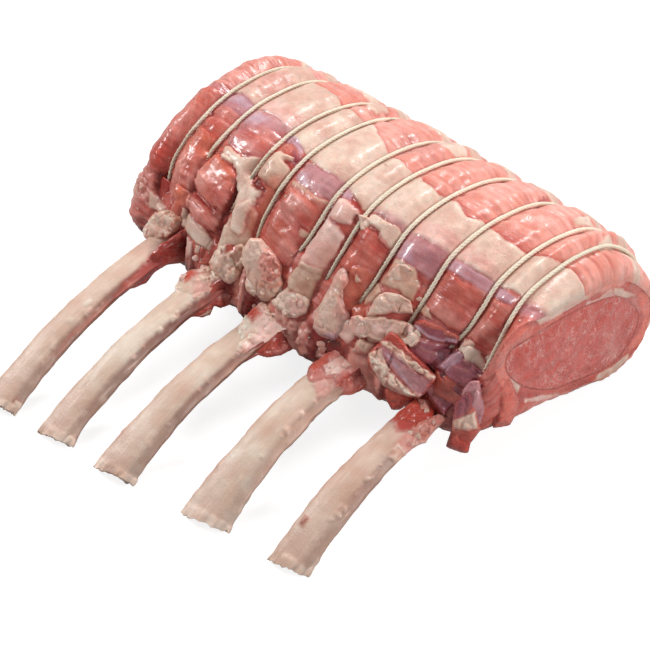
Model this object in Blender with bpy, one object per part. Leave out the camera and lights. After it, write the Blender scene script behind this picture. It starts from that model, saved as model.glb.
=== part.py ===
"""Rack of veal: a rolled loin on five long frenched ribs, tied with ten loops of butcher's twine.

Lengths in this script are millimetres, turned into metres where a mesh is made.
X runs along the roll, and its cut face, which shows the loin eye, looks to +X.  The ribs point to -Y.
Places are written in the roll's own frame: x from the middle of the roll, y from a line about a third of
the way back under it, z from the table.  At the end everything is shifted so that the origin is the middle
of the bounding box's underside.
"""
import math

import bmesh
import bpy
import numpy as np
from mathutils import Matrix, Vector

MM = 0.001
GAP = 0.3                       # clearance between pieces that touch in the real food

# ---- the roll -------------------------------------------------------------------------------------
# Where the five outlines below are taken: far end, inside it, middle, inside the cut, the cut face.
# Only the two ends of the chine rest on the table; its middle is arched a little.
OUTLINE_X = (-111.0, -98.0, 0.0, 106.0, 125.0)
FAR_END, CUT_FACE = OUTLINE_X[0], OUTLINE_X[-1]
# Outline of the roll there as (y, z), once around from the chine edge that rests on the table.
OUTLINE = {
    "chine": ((77, 9), (86, -3), (88, 3), (91, -3), (82, 2)),
    "heel": ((85, 17), (99, 15), (101, 15), (104, 13), (93, 10)),
    "back": ((87, 35), (101, 38), (104, 38), (107, 36), (97, 30)),
    "back_top": ((79, 50), (88, 61), (93, 63), (95, 62), (85, 51)),
    "ridge": ((58, 61), (63, 79), (68, 84), (70, 86), (67, 67)),
    "crown": ((34, 64), (34, 83), (34, 94), (38, 96), (39, 78)),
    "front_top": ((12, 56), (10, 78), (4, 92), (8, 94), (12, 85)),
    "shoulder": ((-3, 47), (-11, 67), (-18, 77), (-10, 80), (-11, 88)),
    "nose": ((-12, 37), (-25, 55), (-34, 57), (-25, 60), (-22, 75)),
    "lip": ((-16, 27), (-35, 38), (-44, 37), (-35, 38), (-13, 54)),
    "under_lip": ((-12, 18), (-32, 23), (-38, 23), (-29, 24), (0, 37)),
    "hollow": ((6, 18), (0, 25), (0, 27), (6, 25), (24, 22)),
    "under": ((42, 12), (42, 15), (44, 15), (48, 13), (52, 9)),
    "chine_inner": ((66, 8), (70, -3), (73.5, 3), (76, -3), (72, 2)),
}
SIDES_PER_SPAN = (2, 3, 3, 3, 4, 4, 3, 3, 3, 2, 3, 4, 2, 2)
ROUNDED_END_STEPS = (0.65, 0.87)

# ---- the twine ------------------------------------------------------------------------------------
TWINE_RADIUS = 1.15
TWINE_SAG = 0.45                # how far the taut twine may cut across a corner of its groove
# x of each loop over the ridge, and x where it goes down between two ribs.
TWINE_LOOPS = (
    (-91.5, -84), (-71.5, -59), (-41, -46), (-22, -18), (7, -6.5),
    (26.5, 21), (49.5, 38), (75.5, 67), (101.5, 83.5), (116, 113),
)
GROOVE_DEPTH = 5.0
GROOVE_HALF_WIDTH = 8.6
GROOVE_FLANK = 4.0              # rings this far from the loop on both sides give the groove its shape
WIDE_BULGE = 24.0               # loops further apart than this have two rings between them
# Share of a loop's sideways lean that each part of the outline takes.
LEAN_SHARE = {"nose": 0.5, "lip": 1.0, "under_lip": 1.0, "hollow": 0.5, "under": 0.2}
# Share of the groove's depth; the twine spans the hollow underside without touching it.
PRESS_SHARE = {"lip": 0.8, "under_lip": 0.3, "hollow": 0.0, "under": 0.6, "chine_inner": 1.1, "chine": 1.1}

# ---- the ribs: x at the meat, x at the tip, y of the tip, width at the meat, width at the tip -----------
RIBS = (
    (-72.5, -71.5, -150, 16.0, 18.5),
    (-35.5, -37.0, -145, 16.0, 19.0),
    (4.5, 0.0, -141, 16.5, 22.0),
    (50.0, 50.5, -131, 19.0, 24.5),
    (97.0, 96.0, -123, 17.0, 21.5),
)
RIB_APEX_Y, RIB_APEX_Z = -34.0, 34.5     # where the ribs' arch is highest
RIB_INNER_Y = 56.0                       # where they end inside the meat, by the chine
RIB_INNER_RADIUS = 200.0
RIB_THICKNESS = 9.0
RIB_TIP_Z = 3.2                          # so low that the underside of every tip lies flat on the table
RIB_BEND = 2.3                           # how late the outer part bends down
RIB_TIP_SLANT = 0.24                     # the saw cut leans: the +X edge is the shorter one
RIB_INNER_RINGS, RIB_OUTER_RINGS, RIB_SIDES = 6, 9, 10
SOCKET_RINGS = 10                        # of those rings, how many the socket in the meat has

# ---- the loin eye: its outline on the cut face, and how it shrinks into the roll ------------------------
EYE_OUTLINE = (
    (70, 9), (84, 14), (89, 27), (81, 43), (66, 58), (44, 68), (22, 74),
    (3, 77), (-12, 79), (-14, 68), (0, 47), (22, 28), (46, 17),
)
EYE_X = (125.0, 115.0, 95.0, -80.0, -111.0)
EYE_MIDDLE = ((41, 45), (42, 54), (40, 56), (36, 54), (34, 44))
EYE_SCALE = ((1.0, 1.0), (0.84, 0.76), (0.62, 0.6), (0.6, 0.55), (0.45, 0.4))
EYE_BULGE, EYE_BULGE_SCALE = 1.2, (0.93, 0.9)   # the cut muscle swells out past the flesh around it
EYE_CUTTER_REACH = 5.0

# ---- lumps of fat and flesh on the roll ---------------------------------------------------------------
# x, place round the outline (in knots), half sizes (along the roll, down the outline, out of it), how deep
# the centre sits, turn on the surface in degrees.
LUMPS = {
    "fat_knob_far": (-53, 6.75, 8, 11, 6, 2.5, 20),
    "fat_knob_upper": (-33, 6.15, 8, 9, 5, 2, 0),
    "fat_strip": (-34, 7.2, 5, 11, 5, 1.5, 10),
    "fat_lump": (-12, 8.15, 9, 17, 9, 3, -8),
    "seam_fat": (15, 7.5, 5, 21, 6, 2.5, -4),
    "pale_lump": (34, 8.05, 9, 13, 9, 3, 10),
    "fat_sheet": (60, 7.55, 11, 11, 5, 2.5, 30),
    "cut_block": (77, 8.25, 13, 15, 9, 3, -15),
    "small_block": (106, 8.1, 6, 9, 7, 2, 10),
    "far_flesh_1": (-84, 7.9, 6, 19, 6, 2, 4),
    "far_flesh_2": (-60, 7.9, 8, 19, 7, 3, -6),
    "ridge_bump_end": (-84, 4.3, 7, 12, 7, 2, 0),
    "ridge_bump_far": (-60, 4.25, 12, 13, 7, 2, 0),
    "ridge_bump_near": (60, 4.15, 9, 10, 4, 2, 0),
    "heel_tag": (118, 0.4, 5, 7, 4, 2, 0),
}
LUMP_SQUARENESS = 0.8
LUMP_UNEVENNESS, LUMP_WAVES = 0.12, 2.5  # how uneven a lump is, and how fast its unevenness may change
LUMP_LOWEST = 0.5                        # no lump reaches lower than this
CURVE_STEPS = 40                         # steps between two knots where a lump's place is looked up

# ---- flesh left beside each rib where it leaves the meat: x from the rib's axis, y, z, half sizes ------
COLLAR = (3, -44, 31.5, 10.5, 17, 6.5)

# ---- two trimmings hanging at the cut end: x, y, z down the middle, half width, half thickness ---------
HANGING_FLAP = ((115, -14, 62, 7, 5), (117, -26, 52, 7, 3.5), (118, -31, 41, 7, 3), (118, -31, 30, 6, 3),
                (117, -30, 21, 4.5, 2.5))
RED_LOBE = ((118, -6, 56, 6, 5), (123, -9, 47, 6, 5), (125, -9, 38, 6, 4.5), (124, -9, 30, 4, 3))


def closed_spline(knots, counts):
    """Points on the closed Catmull-Rom curve through knots, counts[i] of them from knot i to knot i + 1."""
    points = []
    total = len(knots)
    for index, count in enumerate(counts):
        p0, p1, p2, p3 = (knots[(index + shift) % total] for shift in (-1, 0, 1, 2))
        for t in np.arange(count) / count:
            points.append(0.5 * (2 * p1 + (p2 - p0) * t + (2 * p0 - 5 * p1 + 4 * p2 - p3) * t**2
                                 + (3 * p1 - p0 - 3 * p2 + p3) * t**3))
    return np.array(points)


def sideways_lean(x):
    """How far, at full share, the surface lines near x lean along the roll to follow the loops of twine."""
    ridges = [FAR_END] + [ridge for ridge, lip in TWINE_LOOPS] + [CUT_FACE]
    leans = [0] + [lip - ridge for ridge, lip in TWINE_LOOPS] + [0]
    return np.interp(x, ridges, leans)


def outline_knots(x):
    """The outline's knots at x as (x, y, z, share of the groove's depth), with the lean put in.

    A parabola joins the three middle outlines; towards each end they round over like a quarter ellipse.
    """
    far_face, far, middle, near, cut_face = OUTLINE_X
    inner_x = min(max(x, far), near)
    end, start, face = (0, far, far_face) if x < middle else (4, near, cut_face)
    past = abs(x - inner_x) / abs(face - start)
    rounding = 1 - math.sqrt(1 - min(past, 1.0) ** 2)
    knots = []
    for name, places in OUTLINE.items():
        places = np.array(places, float)
        parabola = np.polyfit((far, middle, near), places[1:4], 2)
        inside = np.array([np.polyval(parabola[:, axis], inner_x) for axis in (0, 1)])
        y, z = inside + rounding * (places[end] - inside)
        leaning_x = x + LEAN_SHARE.get(name, 0) * sideways_lean(x)
        knots.append(np.array((leaning_x, y, z, PRESS_SHARE.get(name, 1))))
    return knots


def outward_normals(ring):
    """Unit normals across X that point out of a ring which runs from +Y over +Z to -Y."""
    along = np.roll(ring, -1, axis=0) - np.roll(ring, 1, axis=0)
    normals = np.stack([np.zeros(len(ring)), along[:, 2], -along[:, 1]], axis=1)
    return normals / np.linalg.norm(normals, axis=1, keepdims=True)


def groove_depth(x):
    """How far the loops of twine press the surface in at x."""
    distances = [min(abs(x - ridge) / GROOVE_HALF_WIDTH, 1) for ridge, lip in TWINE_LOOPS]
    return sum(GROOVE_DEPTH * math.cos(math.pi / 2 * distance) ** 2 for distance in distances)


def roll_ring(x):
    """The roll's surface at x: the smooth outline, not below the table, then pressed in by the twine."""
    smooth = closed_spline(outline_knots(x), SIDES_PER_SPAN)
    smooth, press_share = smooth[:, :3], smooth[:, 3:]
    smooth[:, 2] = np.maximum(smooth[:, 2], 0)
    return smooth - outward_normals(smooth) * groove_depth(x) * press_share


def mesh_object(name, vertices, faces):
    mesh = bpy.data.meshes.new(name)
    mesh.from_pydata([tuple(MM * c for c in v) for v in vertices], [], faces)
    mesh.update()
    piece = bpy.data.objects.new(name, mesh)
    bpy.context.scene.collection.objects.link(piece)
    return piece


def skin(name, rings):
    """A closed body through rings of equally many points, with flat ends."""
    sides = len(rings[0])
    vertices = [tuple(point) for ring in rings for point in ring]
    faces = [tuple(reversed(range(sides)))]
    for start in range(0, sides * (len(rings) - 1), sides):
        for side in range(sides):
            following = (side + 1) % sides
            faces.append((start + side, start + following, start + sides + following, start + sides + side))
    faces.append(tuple(range(sides * (len(rings) - 1), sides * len(rings))))
    piece = mesh_object(name, vertices, faces)
    face_outward(piece)
    return piece


def face_outward(piece):
    mesh = bmesh.new()
    mesh.from_mesh(piece.data)
    bmesh.ops.recalc_face_normals(mesh, faces=mesh.faces)
    mesh.to_mesh(piece.data)
    mesh.free()


def roll_stations():
    """Where along the roll a ring is needed: at and beside each loop, between loops, and at the ends."""
    far_face, far, middle, near, cut_face = OUTLINE_X
    ridges = [ridge for ridge, lip in TWINE_LOOPS]
    stations = [far_face, cut_face]
    stations += [far + (far_face - far) * step for step in ROUNDED_END_STEPS]
    stations += [near + (cut_face - near) * step for step in ROUNDED_END_STEPS]
    for ridge in ridges:
        stations += [ridge - GROOVE_FLANK, ridge, ridge + GROOVE_FLANK]
    for before, after in zip(ridges, ridges[1:]):
        steps = 3 if after - before > WIDE_BULGE else 2
        stations += [before + (after - before) * step / steps for step in range(1, steps)]
    return sorted(set(round(x, 2) for x in stations))


def lump(name, centre, half_sizes, axes, seed):
    """A rounded, slightly square, uneven lump. axes are the unit vectors that its half sizes lie along."""
    mesh = bmesh.new()
    bmesh.ops.create_icosphere(mesh, subdivisions=2, radius=1)
    random = np.random.default_rng(seed)
    waves = random.uniform(-LUMP_WAVES, LUMP_WAVES, (3, 3))
    phases = random.uniform(0, math.tau, 3)
    for vertex in mesh.verts:
        direction = np.array(vertex.co)
        unevenness = 1 + LUMP_UNEVENNESS * np.sin(waves @ direction + phases).mean()
        squared = np.sign(direction) * np.abs(direction) ** LUMP_SQUARENESS * unevenness
        place = np.array(centre, float) + sum(squared[i] * half_sizes[i] * axes[i] for i in range(3))
        place[2] = max(place[2], LUMP_LOWEST)
        vertex.co = Vector(place * MM)
    data = bpy.data.meshes.new(name)
    mesh.to_mesh(data)
    mesh.free()
    piece = bpy.data.objects.new(name, data)
    bpy.context.scene.collection.objects.link(piece)
    return piece


def lump_on_roll(name, x, place, half_x, half_down, half_out, depth, turn, seed):
    knots = np.array(outline_knots(x))[:, :3]
    index = int(place)
    counts = [CURVE_STEPS if i == index else 1 for i in range(len(OUTLINE))]
    curve = closed_spline(list(knots), counts)
    spot = index + int(round((place - index) * CURVE_STEPS))
    here, after = curve[spot], curve[(spot + 1) % len(curve)]
    down = (after - here) * (0, 1, 1)
    down /= np.linalg.norm(down)
    out = np.array((0, down[2], -down[1]))
    along = np.array((1.0, 0, 0))
    cos, sin = math.cos(math.radians(turn)), math.sin(math.radians(turn))
    axes = (along * cos + down * sin, down * cos - along * sin, out)
    return lump(name, here - out * depth, (half_x, half_down, half_out), axes, seed)


def bar(name, stations, sides=10):
    """A soft strip, wide along X, through stations of (x, y, z, half width, half thickness)."""
    stations = np.array(stations, float)
    rings = []
    for index, (x, y, z, half_width, half_thickness) in enumerate(stations):
        before, after = stations[max(index - 1, 0)], stations[min(index + 1, len(stations) - 1)]
        along = (after - before)[:3]
        along /= np.linalg.norm(along)
        across = np.array((1.0, 0, 0)) - along * along[0]
        across /= np.linalg.norm(across)
        out = np.cross(along, across)
        middle = np.array((x, y, z))
        across, out = across * half_width, out * half_thickness
        turns = np.arange(sides) / sides * math.tau
        rings.append([middle + across * math.cos(turn) + out * math.sin(turn) for turn in turns])
    return skin(name, rings)


def rib_centre(rib, y):
    """The middle of a rib at y, and the direction it runs there, towards its tip."""
    root_x, tip_x, tip_y, root_width, tip_width = rib
    slope_x = (tip_x - root_x) / (tip_y - RIB_APEX_Y)
    if y > RIB_APEX_Y:
        z = RIB_APEX_Z - (y - RIB_APEX_Y) ** 2 / (2 * RIB_INNER_RADIUS)
        slope_z = -(y - RIB_APEX_Y) / RIB_INNER_RADIUS
    else:
        reach = (RIB_APEX_Y - y) / (RIB_APEX_Y - tip_y)
        drop = RIB_APEX_Z - RIB_TIP_Z
        z = RIB_APEX_Z - drop * reach ** RIB_BEND
        slope_z = drop * RIB_BEND * reach ** (RIB_BEND - 1) / (RIB_APEX_Y - tip_y)
    along = -np.array((slope_x, 1.0, slope_z))
    return np.array((root_x + slope_x * (y - RIB_APEX_Y), y, z)), along / np.linalg.norm(along)


def rib_body(name, rib, margin=0.0, rings_wanted=None):
    """A flat, arched rib; with a margin it is the cutter for its socket, which stops short of the tip."""
    root_x, tip_x, tip_y, root_width, tip_width = rib
    places = list(np.linspace(RIB_INNER_Y, RIB_APEX_Y, RIB_INNER_RINGS))
    places += list(np.linspace(RIB_APEX_Y, tip_y, RIB_OUTER_RINGS + 1))[1:]
    places[0] += margin
    rings = []
    for y in places[:rings_wanted]:
        middle, along = rib_centre(rib, y)
        reach = max((RIB_APEX_Y - y) / (RIB_APEX_Y - tip_y), 0.0)
        half_width = (root_width + (tip_width - root_width) * reach ** 2) / 2 + margin
        half_thickness = RIB_THICKNESS / 2 + margin
        across = np.cross(along, (0, 0, 1))
        across /= -np.linalg.norm(across)
        up = np.cross(along, across)
        up *= math.copysign(1, up[2])
        slant = RIB_TIP_SLANT if y == tip_y else 0.0
        ring = []
        for turn in (np.arange(RIB_SIDES) + 0.5) / RIB_SIDES * math.tau:
            sideways = math.cos(turn) * half_width
            point = middle + (across - along * slant) * sideways + up * math.sin(turn) * half_thickness
            point[2] = max(point[2], 0)
            ring.append(point)
        rings.append(ring)
    return skin(name, rings)


def eye_body(name, margin=0.0):
    """The loin eye; with a margin it is the cutter for the hole that it fills, and passes both ends."""
    outline = np.array(EYE_OUTLINE, float)
    outline -= np.array(EYE_MIDDLE[0])
    stations = list(zip(EYE_X, EYE_MIDDLE, EYE_SCALE))
    if margin:
        stations.insert(0, (CUT_FACE + EYE_CUTTER_REACH, *stations[0][1:]))
        stations.append((FAR_END - EYE_CUTTER_REACH, *stations[-1][1:]))
    else:
        stations.insert(0, (CUT_FACE + EYE_BULGE, EYE_MIDDLE[0], EYE_BULGE_SCALE))
    rings = []
    for x, middle, scale in stations:
        knots = [np.array((x, *point)) for point in outline * scale + middle]
        ring = closed_spline(knots, [2] * len(knots))
        rings.append(ring + outward_normals(ring) * margin)
    return skin(name, rings)


def twine_path(ridge):
    """A taut loop: the hull of the groove that it lies in, moved out so that the twine clears the meat."""
    clearance = TWINE_RADIUS + GAP + TWINE_SAG
    ring = roll_ring(ridge)
    order = np.lexsort((ring[:, 2], ring[:, 1]))
    hull = []
    for indices in (order, order[::-1]):
        chain = []
        for index in indices:
            while len(chain) > 1:
                first, second = ring[chain[-1]] - ring[chain[-2]], ring[index] - ring[chain[-1]]
                turning = first[1] * second[2] - first[2] * second[1]
                if turning > TWINE_SAG * np.linalg.norm(first + second):
                    break
                chain.pop()
            chain.append(index)
        hull += chain[:-1]
    loop = ring[hull]
    before, after = loop - np.roll(loop, 1, axis=0), np.roll(loop, -1, axis=0) - loop
    points = []
    for point, edge_in, edge_out in zip(loop, before, after):
        normals = [np.array((0, edge[2], -edge[1])) for edge in (edge_in, edge_out)]
        normals = [normal / np.linalg.norm(normal) for normal in normals]
        middle = sum(normals)
        middle /= np.linalg.norm(middle)
        points.append(point + middle * clearance / (middle @ normals[0]))
    return points


def tube(name, points, radius):
    """A closed six-sided tube, built as a curve with a bevel and turned into a mesh."""
    curve = bpy.data.curves.new(name, "CURVE")
    curve.dimensions = "3D"
    curve.bevel_depth = radius * MM
    curve.bevel_resolution = 1
    spline = curve.splines.new("POLY")
    spline.points.add(len(points) - 1)
    for place, point in zip(spline.points, points):
        place.co = (*(float(c) * MM for c in point), 1)
    spline.use_cyclic_u = True
    source = bpy.data.objects.new(name + "_curve", curve)
    bpy.context.scene.collection.objects.link(source)
    mesh = bpy.data.meshes.new_from_object(source.evaluated_get(bpy.context.evaluated_depsgraph_get()))
    bpy.data.objects.remove(source)
    piece = bpy.data.objects.new(name, mesh)
    bpy.context.scene.collection.objects.link(piece)
    face_outward(piece)
    return piece


def combine(target, others, operation, solver="EXACT"):
    """One applied Boolean of target with all the others, which are then removed."""
    group = bpy.data.collections.new(target.name + "_" + operation.lower())
    bpy.context.scene.collection.children.link(group)
    for other in others:
        group.objects.link(other)
    boolean = target.modifiers.new(operation.lower(), "BOOLEAN")
    boolean.operand_type = "COLLECTION"
    boolean.collection = group
    boolean.operation = operation
    boolean.solver = solver
    evaluated = target.evaluated_get(bpy.context.evaluated_depsgraph_get())
    target.data = bpy.data.meshes.new_from_object(evaluated)
    target.modifiers.clear()
    for other in others:
        bpy.data.objects.remove(other)
    bpy.data.collections.remove(group)


def collars():
    pieces = []
    axes = np.eye(3)
    for number, rib in enumerate(RIBS, start=1):
        aside, y, z, *half_sizes = COLLAR
        pieces.append(lump(f"collar_{number}", (rib[0] + aside, y, z), half_sizes, axes, seed=30 + number))
    return pieces


def meat():
    body = skin("meat", [roll_ring(x) for x in roll_stations()])
    extras = [lump_on_roll(name, *sizes, seed) for seed, (name, sizes) in enumerate(LUMPS.items())]
    extras += collars()
    extras += [bar("hanging_flap", HANGING_FLAP), bar("red_lobe", RED_LOBE)]
    combine(body, extras, "UNION")
    cutters = [eye_body("eye_hole", GAP)]
    for number, rib in enumerate(RIBS, start=1):
        cutters.append(rib_body(f"socket_{number}", rib, GAP, SOCKET_RINGS))
    combine(body, cutters, "DIFFERENCE", "MANIFOLD")
    cutters = []
    for number, (ridge, lip) in enumerate(TWINE_LOOPS, start=1):
        cutters.append(tube(f"channel_{number}", twine_path(ridge), TWINE_RADIUS + GAP))
    combine(body, cutters, "DIFFERENCE", "MANIFOLD")
    return body


def finish(piece, colour, roughness):
    """Smooth shading, and the piece's plain colour."""
    piece.data.shade_smooth()
    piece.data.set_sharp_from_angle(angle=math.radians(50))
    material = bpy.data.materials.new(piece.name)
    material.use_nodes = True
    shader = material.node_tree.nodes["Principled BSDF"]
    shader.inputs["Base Color"].default_value = (*colour, 1)
    shader.inputs["Roughness"].default_value = roughness
    shader.inputs["Metallic"].default_value = 0.0
    piece.data.materials.clear()
    piece.data.materials.append(material)
    return piece


def stand_on_origin(pieces):
    """Put the origin at the middle of the underside of the box round all pieces, and return the shift."""
    corners = np.array([vertex.co for piece in pieces for vertex in piece.data.vertices])
    low, high = corners.min(axis=0), corners.max(axis=0)
    shift = Vector((-(low[0] + high[0]) / 2, -(low[1] + high[1]) / 2, -low[2]))
    for piece in pieces:
        piece.data.transform(Matrix.Translation(shift))
    return shift


for old in list(bpy.data.objects):
    bpy.data.objects.remove(old)
parts = [finish(meat(), (0.55, 0.17, 0.14), 0.4), finish(eye_body("loin_eye"), (0.52, 0.12, 0.12), 0.4)]
for number, rib in enumerate(RIBS, start=1):
    parts.append(finish(rib_body(f"rib_{number}", rib), (0.63, 0.50, 0.39), 0.55))
for number, (ridge, lip) in enumerate(TWINE_LOOPS, start=1):
    parts.append(finish(tube(f"twine_{number}", twine_path(ridge), TWINE_RADIUS),
                        (0.60, 0.53, 0.42), 0.85))
shift = stand_on_origin(parts)
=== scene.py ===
import math

import bmesh
import bpy
import numpy as np
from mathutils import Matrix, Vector


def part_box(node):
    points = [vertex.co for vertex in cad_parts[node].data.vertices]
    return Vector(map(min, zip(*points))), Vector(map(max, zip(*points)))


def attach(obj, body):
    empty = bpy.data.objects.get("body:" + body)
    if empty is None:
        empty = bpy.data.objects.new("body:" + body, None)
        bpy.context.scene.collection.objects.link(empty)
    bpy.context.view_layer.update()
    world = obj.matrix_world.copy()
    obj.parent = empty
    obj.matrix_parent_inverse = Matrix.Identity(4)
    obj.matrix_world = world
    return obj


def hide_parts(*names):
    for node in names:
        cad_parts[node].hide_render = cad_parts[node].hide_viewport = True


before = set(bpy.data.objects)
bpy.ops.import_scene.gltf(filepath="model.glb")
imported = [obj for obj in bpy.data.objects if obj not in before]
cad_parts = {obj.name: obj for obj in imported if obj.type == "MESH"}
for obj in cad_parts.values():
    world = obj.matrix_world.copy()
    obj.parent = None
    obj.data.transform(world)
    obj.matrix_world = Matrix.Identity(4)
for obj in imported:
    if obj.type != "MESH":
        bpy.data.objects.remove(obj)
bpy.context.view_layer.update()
bpy.ops.object.select_all(action="DESELECT")

MM = 0.001

# ======== the roll's own frame, in millimetres, as the part's source has it ========
# X runs along the roll, and the cut face with the loin eye looks to +X.  The ribs point to -Y.
OUTLINE_X = (-111.0, -98.0, 0.0, 106.0, 125.0)
FAR_END, CUT_FACE = OUTLINE_X[0], OUTLINE_X[-1]
OUTLINE = {
    "chine": ((77, 9), (86, -3), (88, 3), (91, -3), (82, 2)),
    "heel": ((85, 17), (99, 15), (101, 15), (104, 13), (93, 10)),
    "back": ((87, 35), (101, 38), (104, 38), (107, 36), (97, 30)),
    "back_top": ((79, 50), (88, 61), (93, 63), (95, 62), (85, 51)),
    "ridge": ((58, 61), (63, 79), (68, 84), (70, 86), (67, 67)),
    "crown": ((34, 64), (34, 83), (34, 94), (38, 96), (39, 78)),
    "front_top": ((12, 56), (10, 78), (4, 92), (8, 94), (12, 85)),
    "shoulder": ((-3, 47), (-11, 67), (-18, 77), (-10, 80), (-11, 88)),
    "nose": ((-12, 37), (-25, 55), (-34, 57), (-25, 60), (-22, 75)),
    "lip": ((-16, 27), (-35, 38), (-44, 37), (-35, 38), (-13, 54)),
    "under_lip": ((-12, 18), (-32, 23), (-38, 23), (-29, 24), (0, 37)),
    "hollow": ((6, 18), (0, 25), (0, 27), (6, 25), (24, 22)),
    "under": ((42, 12), (42, 15), (44, 15), (48, 13), (52, 9)),
    "chine_inner": ((66, 8), (70, -3), (73.5, 3), (76, -3), (72, 2)),
}
SPANS = len(OUTLINE)
# how much of a loop's sideways lean, and of its groove's depth, each knot of the outline follows
LEAN_SHARE = {"nose": 0.5, "lip": 1.0, "under_lip": 1.0, "hollow": 0.5, "under": 0.2}
PRESS_SHARE = {
    "back_top": 0.8, "ridge": 0.75, "crown": 0.6, "front_top": 0.5, "shoulder": 0.55, "nose": 0.8,
    "lip": 0.8, "under_lip": 0.3, "hollow": 0.0, "under": 0.6, "chine_inner": 1.1, "chine": 1.1,
}
# x of each loop of twine over the ridge, and x where it goes down between two ribs
TWINE_LOOPS = (
    (-91.5, -84), (-71.5, -59), (-41, -46), (-22, -18), (7, -6.5),
    (26.5, 21), (49.5, 38), (75.5, 67), (101.5, 83.5), (116, 113),
)
RIDGES = [ridge for ridge, lip in TWINE_LOOPS]
GROOVE_DEPTH, GROOVE_HALF_WIDTH = 5.2, 8.6
# the place, in knots round the outline, from where flesh closes over each loop in front
HIDDEN_FROM = (7.6, 6.6, 6.55, 7.6, 7.25, 7.5, 7.6, 7.65, 7.75, 7.75)
CLOSING = 0.2                                # the flesh closes over a loop within so many knots
CREASE_DEPTH, HIDDEN_DEEPER = 2.6, 0.6       # the crease left over a loop, and how much deeper the loop lies
EYE_OUTLINE = (
    (70, 9), (84, 14), (89, 27), (81, 43), (66, 58), (44, 68), (22, 74),
    (3, 77), (-12, 79), (-14, 68), (0, 47), (22, 28), (46, 17),
)
# from the cut face to the far end: x, the middle of the eye as (y, z), and its size there across and up
EYE_X = (125.0, 115.0, 95.0, -80.0, -111.0)
EYE_MIDDLE = ((41, 45), (42, 54), (40, 56), (36, 54), (34, 44))
EYE_SCALE = ((1.0, 1.0), (0.84, 0.76), (0.62, 0.6), (0.6, 0.55), (0.45, 0.4))


# ======== helpers ========
def srgb(hex_colour):
    """An sRGB hex colour as linear red, green and blue."""
    channels = [int(hex_colour[i:i + 2], 16) / 255 for i in (1, 3, 5)]
    return np.array([c / 12.92 if c <= 0.04045 else ((c + 0.055) / 1.055) ** 2.4 for c in channels])


def smooth_step(low, high, value):
    """0 at low and 1 at high, with a smooth rise between them; falls instead where low is above high."""
    t = np.clip((value - low) / (high - low), 0, 1)
    return t * t * (3 - 2 * t)


def quarter_round(share):
    """From 0 to 1 as share goes from 0 to 1, steep at first like a quarter of a circle."""
    return np.sqrt(1 - (1 - np.clip(share, 0, 1)) ** 2)


NOISE_CELLS, NOISE_ORIGIN = 24, 1000.0       # cells before the noise repeats, and how far in its origin lies
OCTAVES = 3


def noise(points, size, seed):
    """Smooth noise between about -1 and 1. size is the length of one wave, or one length for each axis."""
    table = np.random.default_rng(seed).uniform(-1, 1, (NOISE_CELLS, NOISE_CELLS, NOISE_CELLS))
    places = points / np.asarray(size, float) + NOISE_ORIGIN
    whole = np.floor(places).astype(int)
    part = places - whole
    part = part * part * (3 - 2 * part)
    total = 0
    for corner in np.ndindex(2, 2, 2):
        weight = 1
        for axis in range(3):
            weight = weight * (part[..., axis] if corner[axis] else 1 - part[..., axis])
        index = [(whole[..., axis] + corner[axis]) % NOISE_CELLS for axis in range(3)]
        total = total + weight * table[index[0], index[1], index[2]]
    return total


def rough_noise(points, size, seed):
    """Noise with finer waves added, each half as high and half as long as the one before."""
    size = np.asarray(size, float)
    return sum(noise(points, size / 2**k, seed + 17 * k) / 2**k for k in range(OCTAVES)) / 1.6


def spline(knots, places):
    """Points on the closed Catmull-Rom curve through knots (..., count, axes) at places counted in knots."""
    knots = np.asarray(knots, float)
    count = knots.shape[-2]
    index = np.floor(places).astype(int)
    t = (places - index)[:, None]
    p0, p1, p2, p3 = (knots[..., (index + shift) % count, :] for shift in (-1, 0, 1, 2))
    return 0.5 * (2 * p1 + (p2 - p0) * t + (2 * p0 - 5 * p1 + 4 * p2 - p3) * t**2
                  + (3 * p1 - p0 - 3 * p2 + p3) * t**3)


def outline_knots(x):
    """The outline's knots at each x, as (y, z, sideways lean, share of the groove's depth)."""
    x = np.asarray(x, float)
    far_face, far, middle, near, cut_face = OUTLINE_X
    inner = np.clip(x, far, near)
    past = np.where(x < middle, (far - x) / (far - far_face), (x - near) / (cut_face - near))
    rounding = 1 - np.sqrt(1 - np.clip(past, 0, 1) ** 2)
    leans = np.interp(x, [FAR_END] + RIDGES + [CUT_FACE], [0] + [lip - r for r, lip in TWINE_LOOPS] + [0])
    knots = np.zeros((len(x), SPANS, 4))
    for column, (name, places) in enumerate(OUTLINE.items()):
        places = np.array(places, float)
        for axis in (0, 1):
            inside = np.polyval(np.polyfit((far, middle, near), places[1:4, axis], 2), inner)
            face = np.where(x < middle, places[0, axis], places[4, axis])
            knots[:, column, axis] = inside + rounding * (face - inside)
        knots[:, column, 2] = LEAN_SHARE.get(name, 0) * leans
        knots[:, column, 3] = PRESS_SHARE.get(name, 1)
    return knots


def groove_depth(x, places, under_twine=False):
    """How far the loops of twine press the surface in. Where flesh closes over a loop, a crease is left."""
    depth = np.zeros((len(x), len(places)))
    for ridge, hidden_from in zip(RIDGES, HIDDEN_FROM):
        away = np.abs(x - ridge)[:, None]
        reach = np.clip(away / GROOVE_HALF_WIDTH, 0, 1)
        pressed = GROOVE_DEPTH * (0.7 * np.cos(np.pi / 2 * reach) ** 2 + 0.3 * np.exp(-((away / 2.0) ** 2)))
        hidden = smooth_step(hidden_from, hidden_from + CLOSING, places)[None]
        crease = CREASE_DEPTH * (1 - reach) ** 1.6
        if under_twine:
            crease = pressed + HIDDEN_DEEPER
        depth += pressed + (crease - pressed) * hidden
    return depth


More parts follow.
